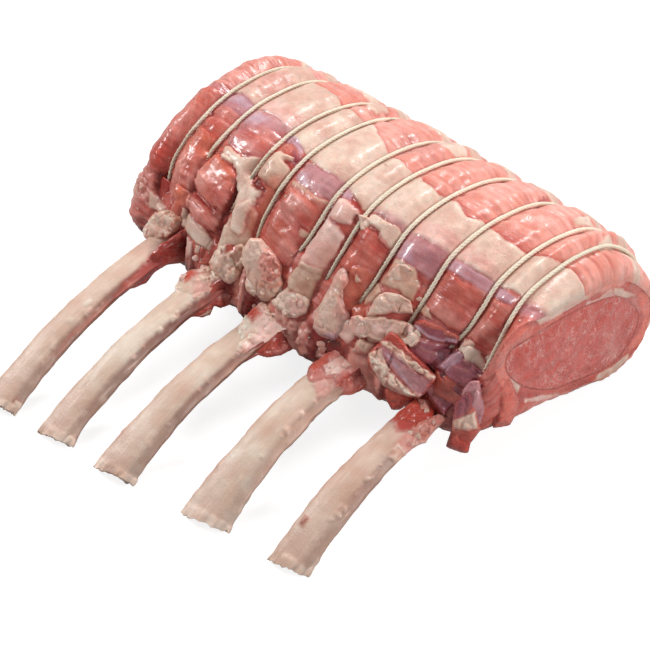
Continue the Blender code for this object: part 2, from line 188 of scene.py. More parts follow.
def roll_surface(x, places, under_twine=False):
    """Points of the roll, as an array (x, places, 3)."""
    curve = spline(outline_knots(x), places)
    points = np.stack([np.broadcast_to(x[:, None], curve.shape[:2]) + curve[..., 2], curve[..., 0],
                       np.maximum(curve[..., 1], 0)], axis=-1)
    out = surface_normals(points)
    return points - out * (groove_depth(x, places, under_twine) * curve[..., 3])[..., None]


def surface_normals(points):
    """Outward unit normals of a grid of points (x, round the outline, 3)."""
    around = np.roll(points, -1, axis=1) - np.roll(points, 1, axis=1)
    along = np.gradient(points, axis=0)
    normals = np.cross(around, along)
    return normals / (np.linalg.norm(normals, axis=-1, keepdims=True) + 1e-12)


# ======== where the sample points lie round the outline ========
FINE, COARSE = 0.6, 1.8                      # spacing in millimetres where the roll shows most, and below
FINE_FROM, FINE_TO = 3.2, 10.2               # places, in knots, between which it is fine
TRIAL_X, TRIAL_STEP = 20.0, 0.01             # the outline that is measured, and its step in knots
trial = np.arange(0, SPANS, TRIAL_STEP)
trial_ring = spline(outline_knots([TRIAL_X])[0][:, :2], trial)
trial_steps = np.linalg.norm(np.roll(trial_ring, -1, axis=0) - trial_ring, axis=1)
# length round the outline up to each trial place
ARC = np.concatenate([[0], np.cumsum(trial_steps)])
ARC_PLACES = np.append(trial, SPANS)


def arc_length(places):
    """Length in millimetres round the outline up to places counted in knots."""
    return np.interp(places, ARC_PLACES, ARC)


def sample_places():
    """Places in knots at fine or coarse spacing, spread so that the last step joins up with the first."""
    wanted = [0.0]
    while wanted[-1] < ARC[-1]:
        place = np.interp(wanted[-1], ARC, ARC_PLACES)
        wanted.append(wanted[-1] + (FINE if FINE_FROM < place < FINE_TO else COARSE))
    wanted = np.array(wanted[:-1]) * ARC[-1] / wanted[-1]
    return np.interp(wanted, ARC, ARC_PLACES)


PLACES = sample_places()

# ======== what the surface is made of ========
# two shades, then the surface values: how fibrous, how wet, how fat and how crumbly it is
KINDS = {
    "fat": ("#E2C5B4", "#D2A998", 0.05, 0.5, 1.0, 0.0),
    "fat_pink": ("#E9C3B8", "#D9A598", 0.3, 0.6, 0.8, 0.0),
    "fat_tan": ("#DAB6A2", "#C69681", 0.1, 0.5, 0.9, 0.2),
    "crumb": ("#ECD4C3", "#D8B09B", 0.0, 0.6, 0.9, 1.0),
    "crumb_pink": ("#E3B2A6", "#CC8A7D", 0.0, 0.8, 0.6, 0.8),
    "flesh": ("#E9A497", "#DE8C7C", 0.8, 0.7, 0.0, 0.0),
    "red": ("#B74D43", "#C7685A", 0.7, 1.0, 0.0, 0.0),
    "bright_red": ("#B8463B", "#C65B4B", 0.4, 1.0, 0.0, 0.0),
    "orange": ("#CD735B", "#C05E4A", 0.3, 1.0, 0.1, 0.0),
    "coral": ("#E58170", "#D66C5E", 0.4, 1.0, 0.0, 0.0),
    "pale": ("#D9968B", "#C57B72", 0.7, 0.8, 0.2, 0.1),
    # deep: dark red, laid mostly in hollows, creases and gaps, partly as the flesh's own darker red and
    # partly as painted shade
    "deep": ("#75211C", "#8C2E27", 0.2, 1.0, 0.0, 0.2),
    "silver": ("#C58C8F", "#B4757A", 0.35, 1.5, 0.2, 0.0),
    "lavender": ("#D0AFBB", "#C498A6", 0.2, 1.6, 0.3, 0.0),
    "purple": ("#8A414B", "#9D5560", 0.5, 1.4, 0.0, 0.0),
    "eye": ("#D1665C", "#C4554C", 0.3, 0.9, 0.0, 0.1),
    "eye_dark": ("#B8483D", "#C25246", 0.25, 0.9, 0.0, 0.1),
    "bone": ("#DDCBBA", "#CDB3A0", 0.0, 0.35, 1.0, 0.0),
    "bone_pink": ("#CFAA98", "#C29682", 0.0, 0.4, 0.9, 0.0),
    # painted shade on bone: the ribs' right flank and underside
    "bone_dark": ("#8A5546", "#743D32", 0.3, 0.6, 0.3, 0.0),
}
FIBROUS, WET, FAT, CRUMBLY = range(4)
VALUES = 4


SHADE_SIZE = 10.0                            # millimetres from one patch of a kind's two shades to the next
GRAIN_SIZE, GRIT_SIZE = 2.6, 1.3             # millimetres from one crumb to the next, coarse and fine


class Paint:
    """Colour, surface values, lift and grain at every point of a grid, laid on patch by patch."""

    def __init__(self, points, kind, seed=3):
        self.shape = points.shape[:-1]
        self.points = points.reshape(-1, 3)
        count = len(self.points)
        self.tone, self.values = np.zeros((count, 3)), np.zeros((count, VALUES))
        self.lift, self.turn = np.zeros(count), np.zeros(count)
        self.lay(np.ones(self.shape), kind, seed)

    def lay(self, cover, kind, seed, turn=0.0, shade=1.0, where=None):
        """Lays a kind on with the given cover, everywhere or only on the points chosen by where."""
        where = np.arange(len(self.points)) if where is None else where
        cover = cover.reshape(-1)
        first, second, *values = KINDS[kind]
        blend = smooth_step(-0.45, 0.45, rough_noise(self.points[where], SHADE_SIZE, seed))[:, None]
        colour = (srgb(first) * (1 - blend) + srgb(second) * blend) * shade
        self.tone[where] += (colour - self.tone[where]) * cover[:, None]
        self.values[where] += (np.array(values) - self.values[where]) * cover[:, None]
        self.turn[where] = np.where(cover > 0.5, turn, self.turn[where])

    def crumble(self):
        """Breaks crumbly places up into grains a few millimetres wide, with painted shade, redder and darker,
        in the hollows between them.
        """
        grains = noise(self.points, GRAIN_SIZE, 31) * 0.7 + noise(self.points, GRIT_SIZE, 32) * 0.45
        raised = smooth_step(-0.35, 0.35, grains)
        crumb = self.values[:, CRUMBLY]
        self.lift += crumb * (raised - 0.4 + grains * 0.3)
        # painted shade in the hollows between the grains
        self.tone *= 1 - (crumb * (1 - raised))[:, None] * np.array((0.08, 0.26, 0.28))

    def attributes(self, grain):
        """Colour, surface values and grain, each as a grid."""
        return self.tone.reshape(self.shape + (3,)), self.values.reshape(self.shape + (VALUES,)), grain

    def grid(self, column):
        """One value of every point, as a grid."""
        return column.reshape(self.shape)


def polygon_depth(points, corners):
    """How far each point (u, v) lies inside the polygon, negative outside."""
    corners = np.asarray(corners, float)
    distance = np.full(points.shape[:-1], 1e9)
    inside = np.zeros(points.shape[:-1], bool)
    for start, end in zip(corners, np.roll(corners, -1, axis=0)):
        edge, offset = end - start, points - start
        t = np.clip((offset @ edge) / (edge @ edge), 0, 1)
        distance = np.minimum(distance, np.linalg.norm(offset - t[..., None] * edge, axis=-1))
        crosses = (start[1] > points[..., 1]) != (end[1] > points[..., 1])
        slope = edge[0] / (edge[1] if edge[1] else 1e-9)
        inside ^= crosses & (points[..., 0] < start[0] + slope * offset[..., 1])
    return np.where(inside, distance, -distance)


MARKED_LIFT = 0.8                            # patches lifted this much get painted shade, darker and redder, just outside their edge
EDGE_PAINTED_SHADE = np.array((0.10, 0.32, 0.32))    # how much darker that painted shade is in red, green and blue
LEAN_BELOW = 0.3                             # a kind less fat than this is lean
LEAN_RAGGED, LEAN_SOFTNESS = 0.6, 2.2        # and its edge is so much more ragged, and so many times softer
TEAR_SIZE = 4.0                              # millimetres from one tooth of a ragged edge to the next
STAIN_COVER = {"pale": 0.65, "orange": 0.7, "lavender": 0.8}      # these only stain what they are laid on


def lay_patches(paint, flat, patches, allowed=None):
    """Each patch: kind, lift, how wide its rim rounds off, how ragged and how soft its edge is, corners,
    then how far its fibres are turned, in degrees, and its shade."""
    flat = flat.reshape(-1, 2)
    allowed = np.ones(len(flat)) if allowed is None else allowed.reshape(-1)
    for number, (kind, lift, rim, ragged, soft, corners, *rest) in enumerate(patches):
        corners = np.asarray(corners, float)
        turn = rest[0] if rest else 0.0
        shade = rest[1] if len(rest) > 1 else 1.0
        margin = 4 + ragged + soft
        near = np.all((flat > corners.min(axis=0) - margin) & (flat < corners.max(axis=0) + margin), axis=-1)
        near = np.flatnonzero(near & (allowed > 0))
        if not len(near):
            continue
        at = paint.points[near]
        if KINDS[kind][2 + FAT] < LEAN_BELOW:
            ragged, soft = ragged + LEAN_RAGGED, soft * LEAN_SOFTNESS
        shift = np.stack([rough_noise(at, TEAR_SIZE, start + number) for start in (100, 300)], axis=-1)
        depth = polygon_depth(flat[near] + ragged * shift, corners)
        cover = smooth_step(-soft, soft, depth) * allowed[near] * STAIN_COVER.get(kind, 1.0)
        paint.lay(cover, kind, 500 + number, turn, shade, near)
        paint.lift[near] += lift * quarter_round(depth / rim) * allowed[near]
        if lift >= MARKED_LIFT:
            # painted shade at the foot of a raised patch
            edge = np.exp(-(((depth + 0.4) / 0.7) ** 2)) * allowed[near]
            paint.tone[near] *= 1 - edge[:, None] * EDGE_PAINTED_SHADE


def on_roll(corners):
    """Corners given as (x, place in knots) turned into (x, length round the outline)."""
    return [(x, arc_length(place)) for x, place in corners]


# kind, lift, rim, raggedness, softness, corners as (x, place round the outline in knots)
ROLL_PATCHES = (
    # ---- back and ridge ----
    ("fat", 0.5, 3, 2.5, 1.5, ((-112, 3.1), (-60, 3.5), (0, 3.55), (60, 3.6), (126, 3.5), (126, 3.2),
                               (40, 3.3), (-40, 3.1), (-112, 2.8))),
    ("fat", 0.5, 2, 1.5, 1.0, ((-36, 3.7), (-27, 3.75), (-26, 4.1), (-31, 4.15), (-35, 4.0))),
    ("fat", 0.6, 2, 1.5, 1.0, ((12, 3.6), (24, 3.7), (24, 4.05), (17, 4.2), (12, 4.1))),
    ("fat", 0.5, 2, 1.0, 0.8, ((110, 3.8), (117, 3.7), (117, 4.2), (113, 4.15))),
    ("fat", 0.4, 2, 1.0, 0.8, ((93, 3.6), (99, 3.6), (98, 4.1), (95, 4.1))),
    ("red", -0.8, 2, 0.8, 0.8, ((70, 3.6), (75, 3.6), (74.5, 4.05), (72, 4.0))),
    ("pale", 0.2, 3, 2.0, 2.0, ((-112, 3.9), (-92, 3.8), (-72, 4.2), (-71, 5.1), (-92, 5.25), (-112, 5.4))),
    ("pale", 0.0, 3, 2.0, 2.5, ((-4, 4.2), (7, 4.1), (24, 4.3), (24, 4.7), (8, 4.75), (0, 4.7))),
    # ---- the sheet of fat over the top ----
    ("fat", 0.9, 2.5, 0.9, 0.5, (
        (-92, 3.85), (-72, 3.7), (-64, 4.2), (-46, 4.25), (-36, 4.42), (-28, 4.47), (-20, 4.4), (-12, 4.6),
        (0, 4.8), (8, 4.9), (16, 5.0), (24, 5.0), (30, 5.02), (35, 5.17), (45, 5.2), (49, 5.08), (58, 5.2),
        (66, 5.35), (72, 5.22), (76, 5.2), (82, 5.33), (90, 5.38), (98, 5.34), (104, 5.28), (110, 5.22),
        (114, 5.1), (118, 5.02), (127, 5.0), (127, 6.1), (120, 6.15), (114, 6.05), (104, 6.12), (100, 6.1),
        (90, 6.14), (80, 6.08), (73, 6.06), (60, 6.1), (52, 6.1), (48, 6.15), (28, 6.1), (24, 6.15),
        (14, 6.0), (8, 5.9), (0, 5.9), (-10, 5.87), (-20, 5.8), (-27, 5.7), (-42, 5.55), (-50, 5.42),
        (-70, 5.35), (-92, 5.2))),
    ("pale", 0.0, 3, 2.5, 3.0, ((-90, 4.35), (-72, 4.3), (-71, 5.0), (-88, 5.15))),
    ("fat_pink", 0.0, 3, 2.5, 3.0, ((-70, 5.0), (-44, 5.1), (-43, 5.5), (-70, 5.45))),
    ("fat_pink", 0.0, 3, 2.0, 2.5, ((50, 5.75), (74, 5.7), (100, 5.9), (100, 6.12), (74, 6.08), (50, 6.1))),
    # ---- silverskin and muscle in front of it ----
    ("silver", 0.3, 3, 1.0, 1.6, ((-112, 5.4), (-92, 5.2), (-72, 5.3), (-72, 5.8), (-92, 5.7),
                                  (-112, 5.6)), 0),
    ("lavender", 0.0, 3, 1.0, 2.0, ((-88, 5.3), (-74, 5.35), (-74, 5.5), (-88, 5.5))),
    ("silver", 0.3, 3, 1.0, 2.0, ((-70, 5.38), (-43, 5.42), (-43, 6.27), (-52, 6.34), (-62, 6.32),
                                  (-69, 6.2))),
    ("lavender", 0.0, 3, 1.0, 3.0, ((-68, 5.45), (-56, 5.5), (-58, 5.8), (-68, 5.75))),
    ("red", 0.0, 3, 1.0, 3.0, ((-62, 5.85), (-43, 5.72), (-43, 6.22), (-52, 6.2), (-64, 6.1)), 0, 1.1),
    ("red", 0.3, 3, 1.0, 1.2, ((-84, 5.7), (-73, 5.7), (-71, 6.25), (-78, 6.15), (-84, 6.0))),
    ("lavender", 0.5, 2, 0.6, 0.8, ((-42, 5.5), (-34, 5.58), (-26, 5.72), (-25, 5.85), (-32, 5.72),
                                    (-42, 5.68))),
    ("purple", 0.0, 2, 0.6, 0.8, ((-30, 5.8), (-24, 5.85), (-23, 6.1), (-28, 6.02)), 0, 1.2),
    ("silver", 0.5, 2.5, 0.6, 0.6, ((-20, 5.88), (-8, 5.9), (6, 5.85), (6, 6.3), (-4, 6.34), (-12, 6.34),
                                    (-19, 6.15))),
    ("lavender", 0.0, 2, 0.8, 1.5, ((-18, 6.08), (-12, 6.1), (-9, 6.3), (-13, 6.33), (-19, 6.2))),
    ("lavender", 0.3, 2, 0.8, 1.0, ((8, 5.88), (15, 6.03), (16, 6.16), (8, 6.12))),
    ("silver", 0.0, 2, 0.8, 1.5, ((28, 6.0), (48, 6.03), (49, 6.2), (40, 6.14), (28, 6.1))),
    ("silver", 0.5, 2.5, 0.6, 0.8, ((51, 6.1), (73, 6.05), (74.5, 6.5), (72, 6.66), (52, 6.62))),
    ("lavender", 0.0, 2, 0.8, 2.0, ((52, 6.25), (58, 6.3), (62, 6.58), (53, 6.6))),
    ("lavender", 0.6, 2, 0.6, 0.8, ((76, 6.1), (90, 6.14), (100, 6.12), (100, 6.38), (88, 6.36),
                                    (76, 6.32))),
    ("silver", 0.0, 2, 0.8, 1.5, ((84, 6.14), (100, 6.14), (100, 6.3), (86, 6.34))),
    ("lavender", 0.5, 2, 0.6, 0.8, ((102, 6.12), (113, 6.18), (112, 6.36), (103, 6.36))),
    ("silver", 0.3, 2, 0.8, 2.0, ((115, 6.05), (126, 6.1), (126, 6.45), (115, 6.38))),
    # ---- lean in front, between the loops ----
    ("red", 1.8, 7, 1.0, 2.0, ((-108, 5.45), (-93, 5.4), (-92, 7.0), (-93, 7.7), (-101, 7.9),
                               (-108, 7.2)), 70),
    # painted highlight where the first lobe catches the light
    ("pale", 0.0, 3, 2.0, 3.0, ((-106, 6.0), (-97, 6.0), (-95, 6.7), (-104, 6.9)), 70, 1.1),
    ("bright_red", 0.0, 3, 2.0, 2.5, ((-104, 7.1), (-94, 7.1), (-93, 7.8), (-102, 7.8)), 70, 0.9),
    ("pale", 0.0, 3, 2.5, 2.0, ((-107, 7.8), (-98, 7.8), (-96, 8.4), (-107, 8.5)), 70, 1.15),
    # dark red hollow under the first lobe: partly darker flesh, partly painted shade
    ("deep", -3.0, 4, 1.0, 2.0, ((-96, 7.7), (-91, 7.5), (-86, 7.6), (-86, 8.0), (-92, 8.3),
                                 (-96, 8.1)), 70, 1.5),
    ("orange", 1.6, 6, 1.0, 1.6, ((-90, 6.28), (-71, 6.35), (-70, 7.3), (-72, 7.55), (-78, 8.0), (-84, 8.0),
                                  (-88, 7.2)), 60, 1.08),
    ("pale", 0.0, 3, 2.0, 1.8, ((-86, 6.9), (-79, 6.85), (-78, 7.4), (-79, 8.0), (-84, 8.0),
                                (-86, 7.3)), 80, 1.15),
    ("red", 0.0, 3, 1.5, 2.0, ((-78, 6.85), (-71, 6.85), (-70, 7.45), (-73, 7.6), (-77, 7.5)), 80),
    ("orange", 2.4, 5, 0.8, 1.5, ((-80, 7.65), (-70, 7.6), (-67, 7.8), (-71, 8.1), (-77, 8.4),
                                  (-81, 8.25)), 40, 1.1),
    ("orange", 3.2, 10, 1.0, 2.0, ((-69, 6.62), (-58, 6.5), (-48, 6.75), (-44, 7.05), (-42, 7.5),
                                   (-52, 7.55), (-64, 7.5), (-71, 7.3)), 20, 1.1),
    ("pale", 0.0, 6, 2.0, 3.0, ((-71, 7.0), (-62, 6.9), (-56, 7.2), (-60, 7.5), (-71, 7.45)), 20, 1.15),
    ("red", 0.0, 5, 1.5, 3.0, ((-55, 7.1), (-45, 7.0), (-41, 7.5), (-52, 7.55)), 30),
    # dark red crease under the lobe: partly darker flesh, partly painted shade
    ("deep", -1.5, 2, 0.6, 1.0, ((-71, 7.48), (-60, 7.5), (-50, 7.56), (-42, 7.6), (-50, 7.64), (-62, 7.6),
                                 (-71, 7.56)), 0, 1.8),
    ("pale", 2.8, 8, 1.2, 2.0, ((-72, 7.6), (-60, 7.62), (-50, 7.66), (-41, 7.7), (-39, 8.0), (-50, 8.1),
                                (-60, 8.05), (-72, 8.0)), 15, 1.1),
    ("red", 0.0, 5, 1.5, 2.5, ((-56, 7.7), (-42, 7.7), (-40, 8.0), (-52, 8.05)), 15),
    ("fat", 1.8, 3, 1.2, 0.6, ((-75, 8.02), (-62, 8.05), (-50, 8.05), (-39, 8.2), (-39, 8.4), (-50, 8.45),
                               (-60, 8.42), (-75, 8.45))),
    # painted shadow down the right edge of the lobe
    ("deep", -3.0, 3, 1.0, 1.5, ((-45, 6.95), (-41, 7.0), (-39, 7.4), (-37, 8.0), (-38, 8.2), (-42, 7.9))),
    ("fat_tan", 1.8, 4, 1.2, 0.8, ((-37, 7.2), (-31, 7.0), (-25, 7.2), (-24, 7.8), (-28, 8.2), (-35, 8.3),
                                   (-38, 7.8)), 70),
    ("fat", 1.5, 2, 1.5, 0.5, ((-64, 6.36), (-56, 6.42), (-48, 6.35), (-43, 6.2), (-42, 6.6), (-36, 6.75),
                               (-31, 6.7), (-29, 6.75), (-29, 7.2), (-28, 7.7), (-32, 7.7), (-36, 7.4),
                               (-40, 7.2), (-44, 6.95), (-47, 6.75), (-52, 6.62), (-62, 6.6))),
    ("fat_tan", 2.4, 2, 1.2, 0.5, ((-42, 6.3), (-38, 6.05), (-34, 5.95), (-31, 5.98), (-27, 5.95),
                                   (-26, 6.02), (-29, 6.1), (-24, 6.15), (-21, 6.4), (-25, 6.6),
                                   (-33, 6.58), (-40, 6.5))),
    # painted shadow under the square piece of fat above
    ("deep", -1.5, 2, 0.5, 0.8, ((-38, 6.6), (-30, 6.64), (-27, 6.72), (-32, 6.8), (-38, 6.72)), 0, 1.3),
    ("orange", 0.5, 3, 1.0, 1.0, ((-28, 6.45), (-23, 6.3), (-22, 7.3), (-24, 7.6), (-28, 7.5)), 60),
    ("fat_tan", 0.5, 1.5, 0.8, 0.5, ((-19, 6.3), (-4, 6.36), (5, 6.33), (5, 6.42), (-6, 6.46),
                                     (-17, 6.42))),
    ("red", 1.0, 5, 1.0, 1.0, ((-17, 6.42), (5, 6.42), (7, 7.0), (8, 7.7), (-2, 7.8), (-14, 7.6),
                               (-19, 7.0)), 15),
    ("pale", 0.3, 3, 1.5, 1.5, ((-15, 6.5), (-4, 6.5), (-5, 6.8), (-14, 6.85)), 15),
    ("orange", 0.0, 3, 1.5, 2.0, ((-13, 7.05), (-4, 7.0), (-2, 7.4), (-12, 7.45)), 15),
    ("fat_tan", 0.8, 1.5, 0.6, 0.5, ((1, 6.98), (6, 7.0), (6, 7.1), (2, 7.12))),
    ("fat_pink", 1.6, 2.5, 1.2, 0.5, ((8, 6.15), (16, 6.17), (23, 6.2), (23, 6.5), (18, 6.55), (9, 6.6))),
    ("fat_pink", 1.0, 3, 1.5, 0.8, ((9, 6.55), (19, 6.6), (24, 6.75), (24, 7.5), (13, 7.6), (9, 7.2)), 75),
    ("fat_tan", 0.8, 2, 2.0, 0.8, ((13, 7.5), (24, 7.4), (25, 8.05), (16, 8.1), (12, 7.9)), 80),
    ("fat", 1.6, 2, 1.2, 0.5, ((14, 8.05), (24, 8.05), (24, 8.5), (18, 8.6), (13, 8.5))),
    ("fat", 1.6, 1.5, 1.4, 0.4, ((28, 6.12), (34, 6.15), (44, 6.13), (48.5, 6.2), (48, 6.55), (42, 6.5),
                                 (40, 6.34), (30, 6.3))),
    ("red", 1.0, 4, 1.0, 1.0, ((27, 6.36), (40, 6.4), (48, 6.55), (48, 7.1), (44, 7.3), (34, 7.2),
                               (27, 7.2)), 15),
    ("orange", 0.8, 4, 1.5, 1.2, ((36, 7.1), (48, 7.0), (53, 7.6), (55, 7.9), (47, 7.9), (38, 7.6)), 40),
    ("crumb", 0.8, 1.5, 1.6, 0.4, ((41, 7.2), (45, 7.24), (43, 7.3))),
    ("fat_tan", 1.3, 3, 1.0, 0.5, ((52, 6.62), (64, 6.6), (70, 6.8), (71, 7.15), (60, 7.1), (52, 7.15))),
    ("fat_tan", 1.5, 2, 1.0, 0.4, ((50, 7.15), (57, 7.25), (56, 7.5), (53, 7.62), (50, 7.5))),
    ("orange", 0.3, 2, 1.0, 0.6, ((55, 7.5), (60, 7.6), (58, 7.85), (52, 7.85))),
    ("fat_tan", 1.2, 2.5, 1.0, 0.4, ((57, 7.7), (70, 7.62), (71, 8.05), (66, 8.2), (60, 8.0))),
    ("fat_pink", 1.5, 2, 1.0, 0.5, ((49, 8.0), (56, 7.95), (60, 8.15), (58, 8.4), (50, 8.4))),
    ("fat_tan", 1.5, 2, 0.8, 0.4, ((61, 8.2), (69, 8.15), (69, 8.4), (62, 8.5))),
    ("red", 1.0, 5, 0.8, 1.0, ((76, 6.4), (100, 6.4), (101, 7.3), (88, 7.26), (76, 7.12)), 8),
    # painted highlight: a pale gleam on the muscle between loops 8 and 9
    ("pale", 0.3, 4, 1.5, 2.0, ((76, 6.8), (88, 6.95), (100, 7.0), (100, 7.25), (88, 7.22), (76, 7.1)), 8),
    ("fat_tan", 1.2, 1.2, 1.5, 0.4, ((75, 7.12), (82, 7.18), (86, 7.28), (80, 7.3), (75, 7.26))),
    ("purple", 1.2, 3, 0.8, 0.6, ((77, 7.32), (90, 7.3), (101, 7.34), (103, 7.58), (90, 7.6),
                                  (79, 7.52)), 4),
    ("lavender", 0.3, 1, 0.6, 0.6, ((78, 7.48), (90, 7.55), (101, 7.52), (101, 7.58), (90, 7.62),
                                    (78, 7.54))),
    ("purple", 1.8, 3, 0.8, 0.6, ((87, 7.66), (103, 7.62), (104, 8.12), (95, 8.1), (85, 8.0)), 4),
    ("bright_red", 1.0, 3, 0.8, 0.6, ((71, 7.7), (76, 7.75), (86, 7.95), (86, 8.05), (73, 8.05)), 4),
    ("fat", 2.2, 1.5, 0.8, 0.4, ((74, 7.64), (84, 7.62), (89, 7.7), (87, 7.88), (77, 7.96))),
    # dark red crease line: partly darker flesh, partly painted shade
    ("deep", -2.0, 2, 0.5, 0.6, ((72, 8.06), (88, 8.05), (104, 8.16), (104, 8.26), (88, 8.14), (73, 8.12))),
    ("red", 1.0, 4, 0.8, 0.8, ((102, 6.38), (114, 6.38), (114.5, 7.3), (103, 7.32)), 8),
    # painted highlight on the muscle between loops 9 and 10
    ("pale", 0.5, 3, 1.0, 1.2, ((103, 6.92), (109, 6.95), (108, 7.25), (103, 7.26)), 8),
    ("fat", 1.5, 1.5, 1.0, 0.4, ((104, 7.4), (112, 7.4), (115, 7.6), (117, 7.9), (113, 7.84), (108, 7.62),
                                 (104, 7.6))),
    ("purple", 1.5, 2, 0.5, 0.5, ((104, 7.66), (112, 7.7), (117, 7.92), (113, 8.15), (104, 8.1))),
    ("lavender", 0.0, 2, 0.8, 1.2, ((104, 7.68), (108, 7.72), (107, 8.0), (104, 8.05))),
    ("red", 0.8, 4, 1.0, 1.2, ((116, 6.42), (127, 6.42), (127, 7.3), (119, 7.4), (116, 7.2)), 20, 1.1),
    ("pale", 0.5, 3, 1.0, 1.0, ((116, 7.0), (121, 7.3), (126, 7.5), (126, 8.2), (119, 7.95),
                                (116, 7.6)), 60),
    ("purple", 0.5, 3, 1.0, 1.0, ((115, 8.05), (121, 8.05), (121, 8.9), (115, 9.1)), 70, 1.3),
    # ---- the lip and the hollow between the ribs ----
    # dark red under the lip and between the ribs: partly the flesh's own darker red, partly painted shade
    # under the overhang
    ("deep", -1.0, 6, 2.0, 2.0, ((-90, 8.5), (-60, 8.45), (-40, 8.5), (-36, 8.3), (-22, 8.2), (0, 8.6),
                                 (10, 8.2), (24, 8.6), (34, 8.45), (50, 8.5), (72, 8.4), (90, 8.9),
                                 (104, 8.3), (112, 8.9), (112, 10.9), (-104, 10.9), (-104, 9.6))),
    ("crumb_pink", 1.0, 3, 2.5, 1.5, ((-110, 7.9), (-100, 8.1), (-92, 8.4), (-84, 8.4), (-88, 8.8),
                                      (-97, 9.2), (-110, 9.3))),
    ("red", 0.6, 3, 2.0, 1.0, ((-106, 8.6), (-98, 8.5), (-90, 8.8), (-95, 9.4), (-106, 9.6))),
    ("fat", 0.8, 2, 1.5, 0.6, ((-97, 8.3), (-90, 8.35), (-85, 8.3), (-88, 8.6), (-95, 8.6))),
    ("pale", 0.9, 4, 1.8, 1.2, ((-70, 8.5), (-56, 8.5), (-50, 8.8), (-55, 9.6), (-68, 9.4)), 70),
    ("fat_pink", 0.8, 2.5, 1.8, 0.8, ((-66, 8.5), (-56, 8.48), (-54, 8.8), (-62, 9.0))),
    ("flesh", 0.9, 4, 1.8, 1.2, ((-24, 8.2), (-12, 8.5), (-8, 9.1), (-16, 9.8), (-26, 9.4)), 70),
    ("crumb_pink", 0.8, 2.5, 1.8, 0.8, ((-22, 8.2), (-14, 8.4), (-12, 8.9), (-20, 9.1))),
    ("flesh", 0.9, 5, 1.8, 1.2, ((9, 8.3), (22, 8.6), (34, 8.5), (40, 9.2), (28, 9.9), (12, 9.5)), 70),
    ("crumb_pink", 0.9, 3, 2.0, 0.8, ((14, 8.5), (26, 8.6), (36, 8.6), (34, 9.1), (20, 9.2))),
    ("flesh", 0.9, 5, 1.8, 1.2, ((60, 8.4), (74, 8.4), (84, 8.9), (80, 9.9), (64, 9.7)), 70),
    ("red", 0.5, 3, 1.5, 1.0, ((-51, 8.45), (-43, 8.45), (-41, 9.3), (-45, 9.4), (-50, 8.9)), 80),
    ("red", 0.5, 3, 1.5, 1.0, ((88, 8.8), (100, 8.9), (100, 9.8), (92, 9.8)), 80),
)

# the same on the cut face, corners as (y, z)
FACE_PATCHES = (
    ("fat", 0.8, 2, 0.6, 0.5, ((-4, 100), (8, 80), (20, 77.5), (34, 75), (43, 73), (46, 77), (44, 82),
                               (30, 100))),
    ("coral", 0.5, 3, 0.8, 0.8, ((-18, 84), (-14, 72), (-2, 69), (12, 71), (26, 74), (20, 79), (6, 80),
                                 (-4, 88))),
    ("red", 0.0, 3, 0.8, 2.0, ((-12, 84), (2, 82), (14, 80), (12, 76), (-2, 74), (-12, 78)), 0, 1.15),
    ("flesh", 0.4, 3, 0.8, 0.8, ((42, 74), (56, 68), (70, 62), (76, 64), (60, 100), (36, 100))),
    ("fat_pink", 0.3, 2, 0.8, 0.6, ((42, 71), (52, 66), (60, 67), (66, 60), (63, 58), (50, 64), (42, 68))),
    ("fat", 0.8, 2, 0.8, 0.5, ((62, 67), (68, 62), (78, 52), (83, 47), (78, 49), (70, 54), (64, 61))),
    ("pale", 0.2, 2, 0.8, 0.8, ((78, 52), (84, 46), (92, 34), (88, 32), (80, 44))),
    ("coral", 0.5, 2, 0.6, 0.6, ((84, 48), (90, 44), (98, 30), (98, 8), (84, 7), (84, 12), (92, 18),
                                 (93, 26), (88, 36))),
    ("fat", 0.5, 2, 0.8, 0.6, ((-12, 60), (-8, 60), (-2, 50), (-4, 46), (-7, 50))),
    ("pale", 0.3, 2, 1.0, 1.2, ((-24, 84), (-8, 85), (0, 81), (-6, 76), (-16, 73), (-26, 76))),
    ("coral", 0.5, 3, 1.5, 1.2, ((-30, 76), (-15, 74), (-10, 62), (-7, 48), (-9, 36), (-30, 30)), 80),
    ("pale", 0.2, 2, 1.5, 1.5, ((-30, 74), (-24, 70), (-22, 58), (-26, 50), (-30, 50)), 80),
    ("fat_pink", 0.3, 2, 1.0, 0.8, ((2, 38), (14, 30), (24, 24), (32, 18), (40, 13), (38, 8), (20, 18),
                                    (0, 33))),
    ("fat", 0.4, 2, 1.0, 0.6, ((38, 13), (52, 8), (60, 10), (72, 6), (84, 6), (84, -2), (38, -2))),
    ("bright_red", 0.0, 2, 1.0, 0.8, ((48, 12), (60, 11), (58, 9), (50, 9))),
    ("orange", 0.2, 2, 1.0, 0.8, ((58, 6), (68, 6), (70, 3), (60, 2))),
)

# and on the far end
FAR_FACE_PATCHES = (
    ("fat", 0.4, 2, 1.0, 0.8, ((15, 62), (36, 60), (56, 56), (74, 46), (82, 34), (92, 40), (82, 62),
                               (50, 76), (12, 70))),
    ("flesh", 0.2, 3, 1.0, 1.5, ((52, 52), (66, 48), (76, 36), (74, 22), (62, 24), (57, 40))),
    ("pale", 0.2, 3, 1.0, 1.5, ((-8, 36), (4, 44), (12, 40), (8, 28), (-6, 26))),
    ("fat_pink", 0.3, 1.5, 1.0, 0.6, ((2, 53), (14, 56), (18, 53), (6, 47), (-5, 40), (-7, 42))),
    ("bright_red", 0.2, 3, 1.0, 1.5, ((20, 27), (44, 25), (56, 18), (40, 13), (18, 20))),
    ("fat", 0.4, 1.5, 1.0, 0.6, ((58, 30), (70, 23), (80, 19), (78, 15), (66, 18), (56, 26))),
)


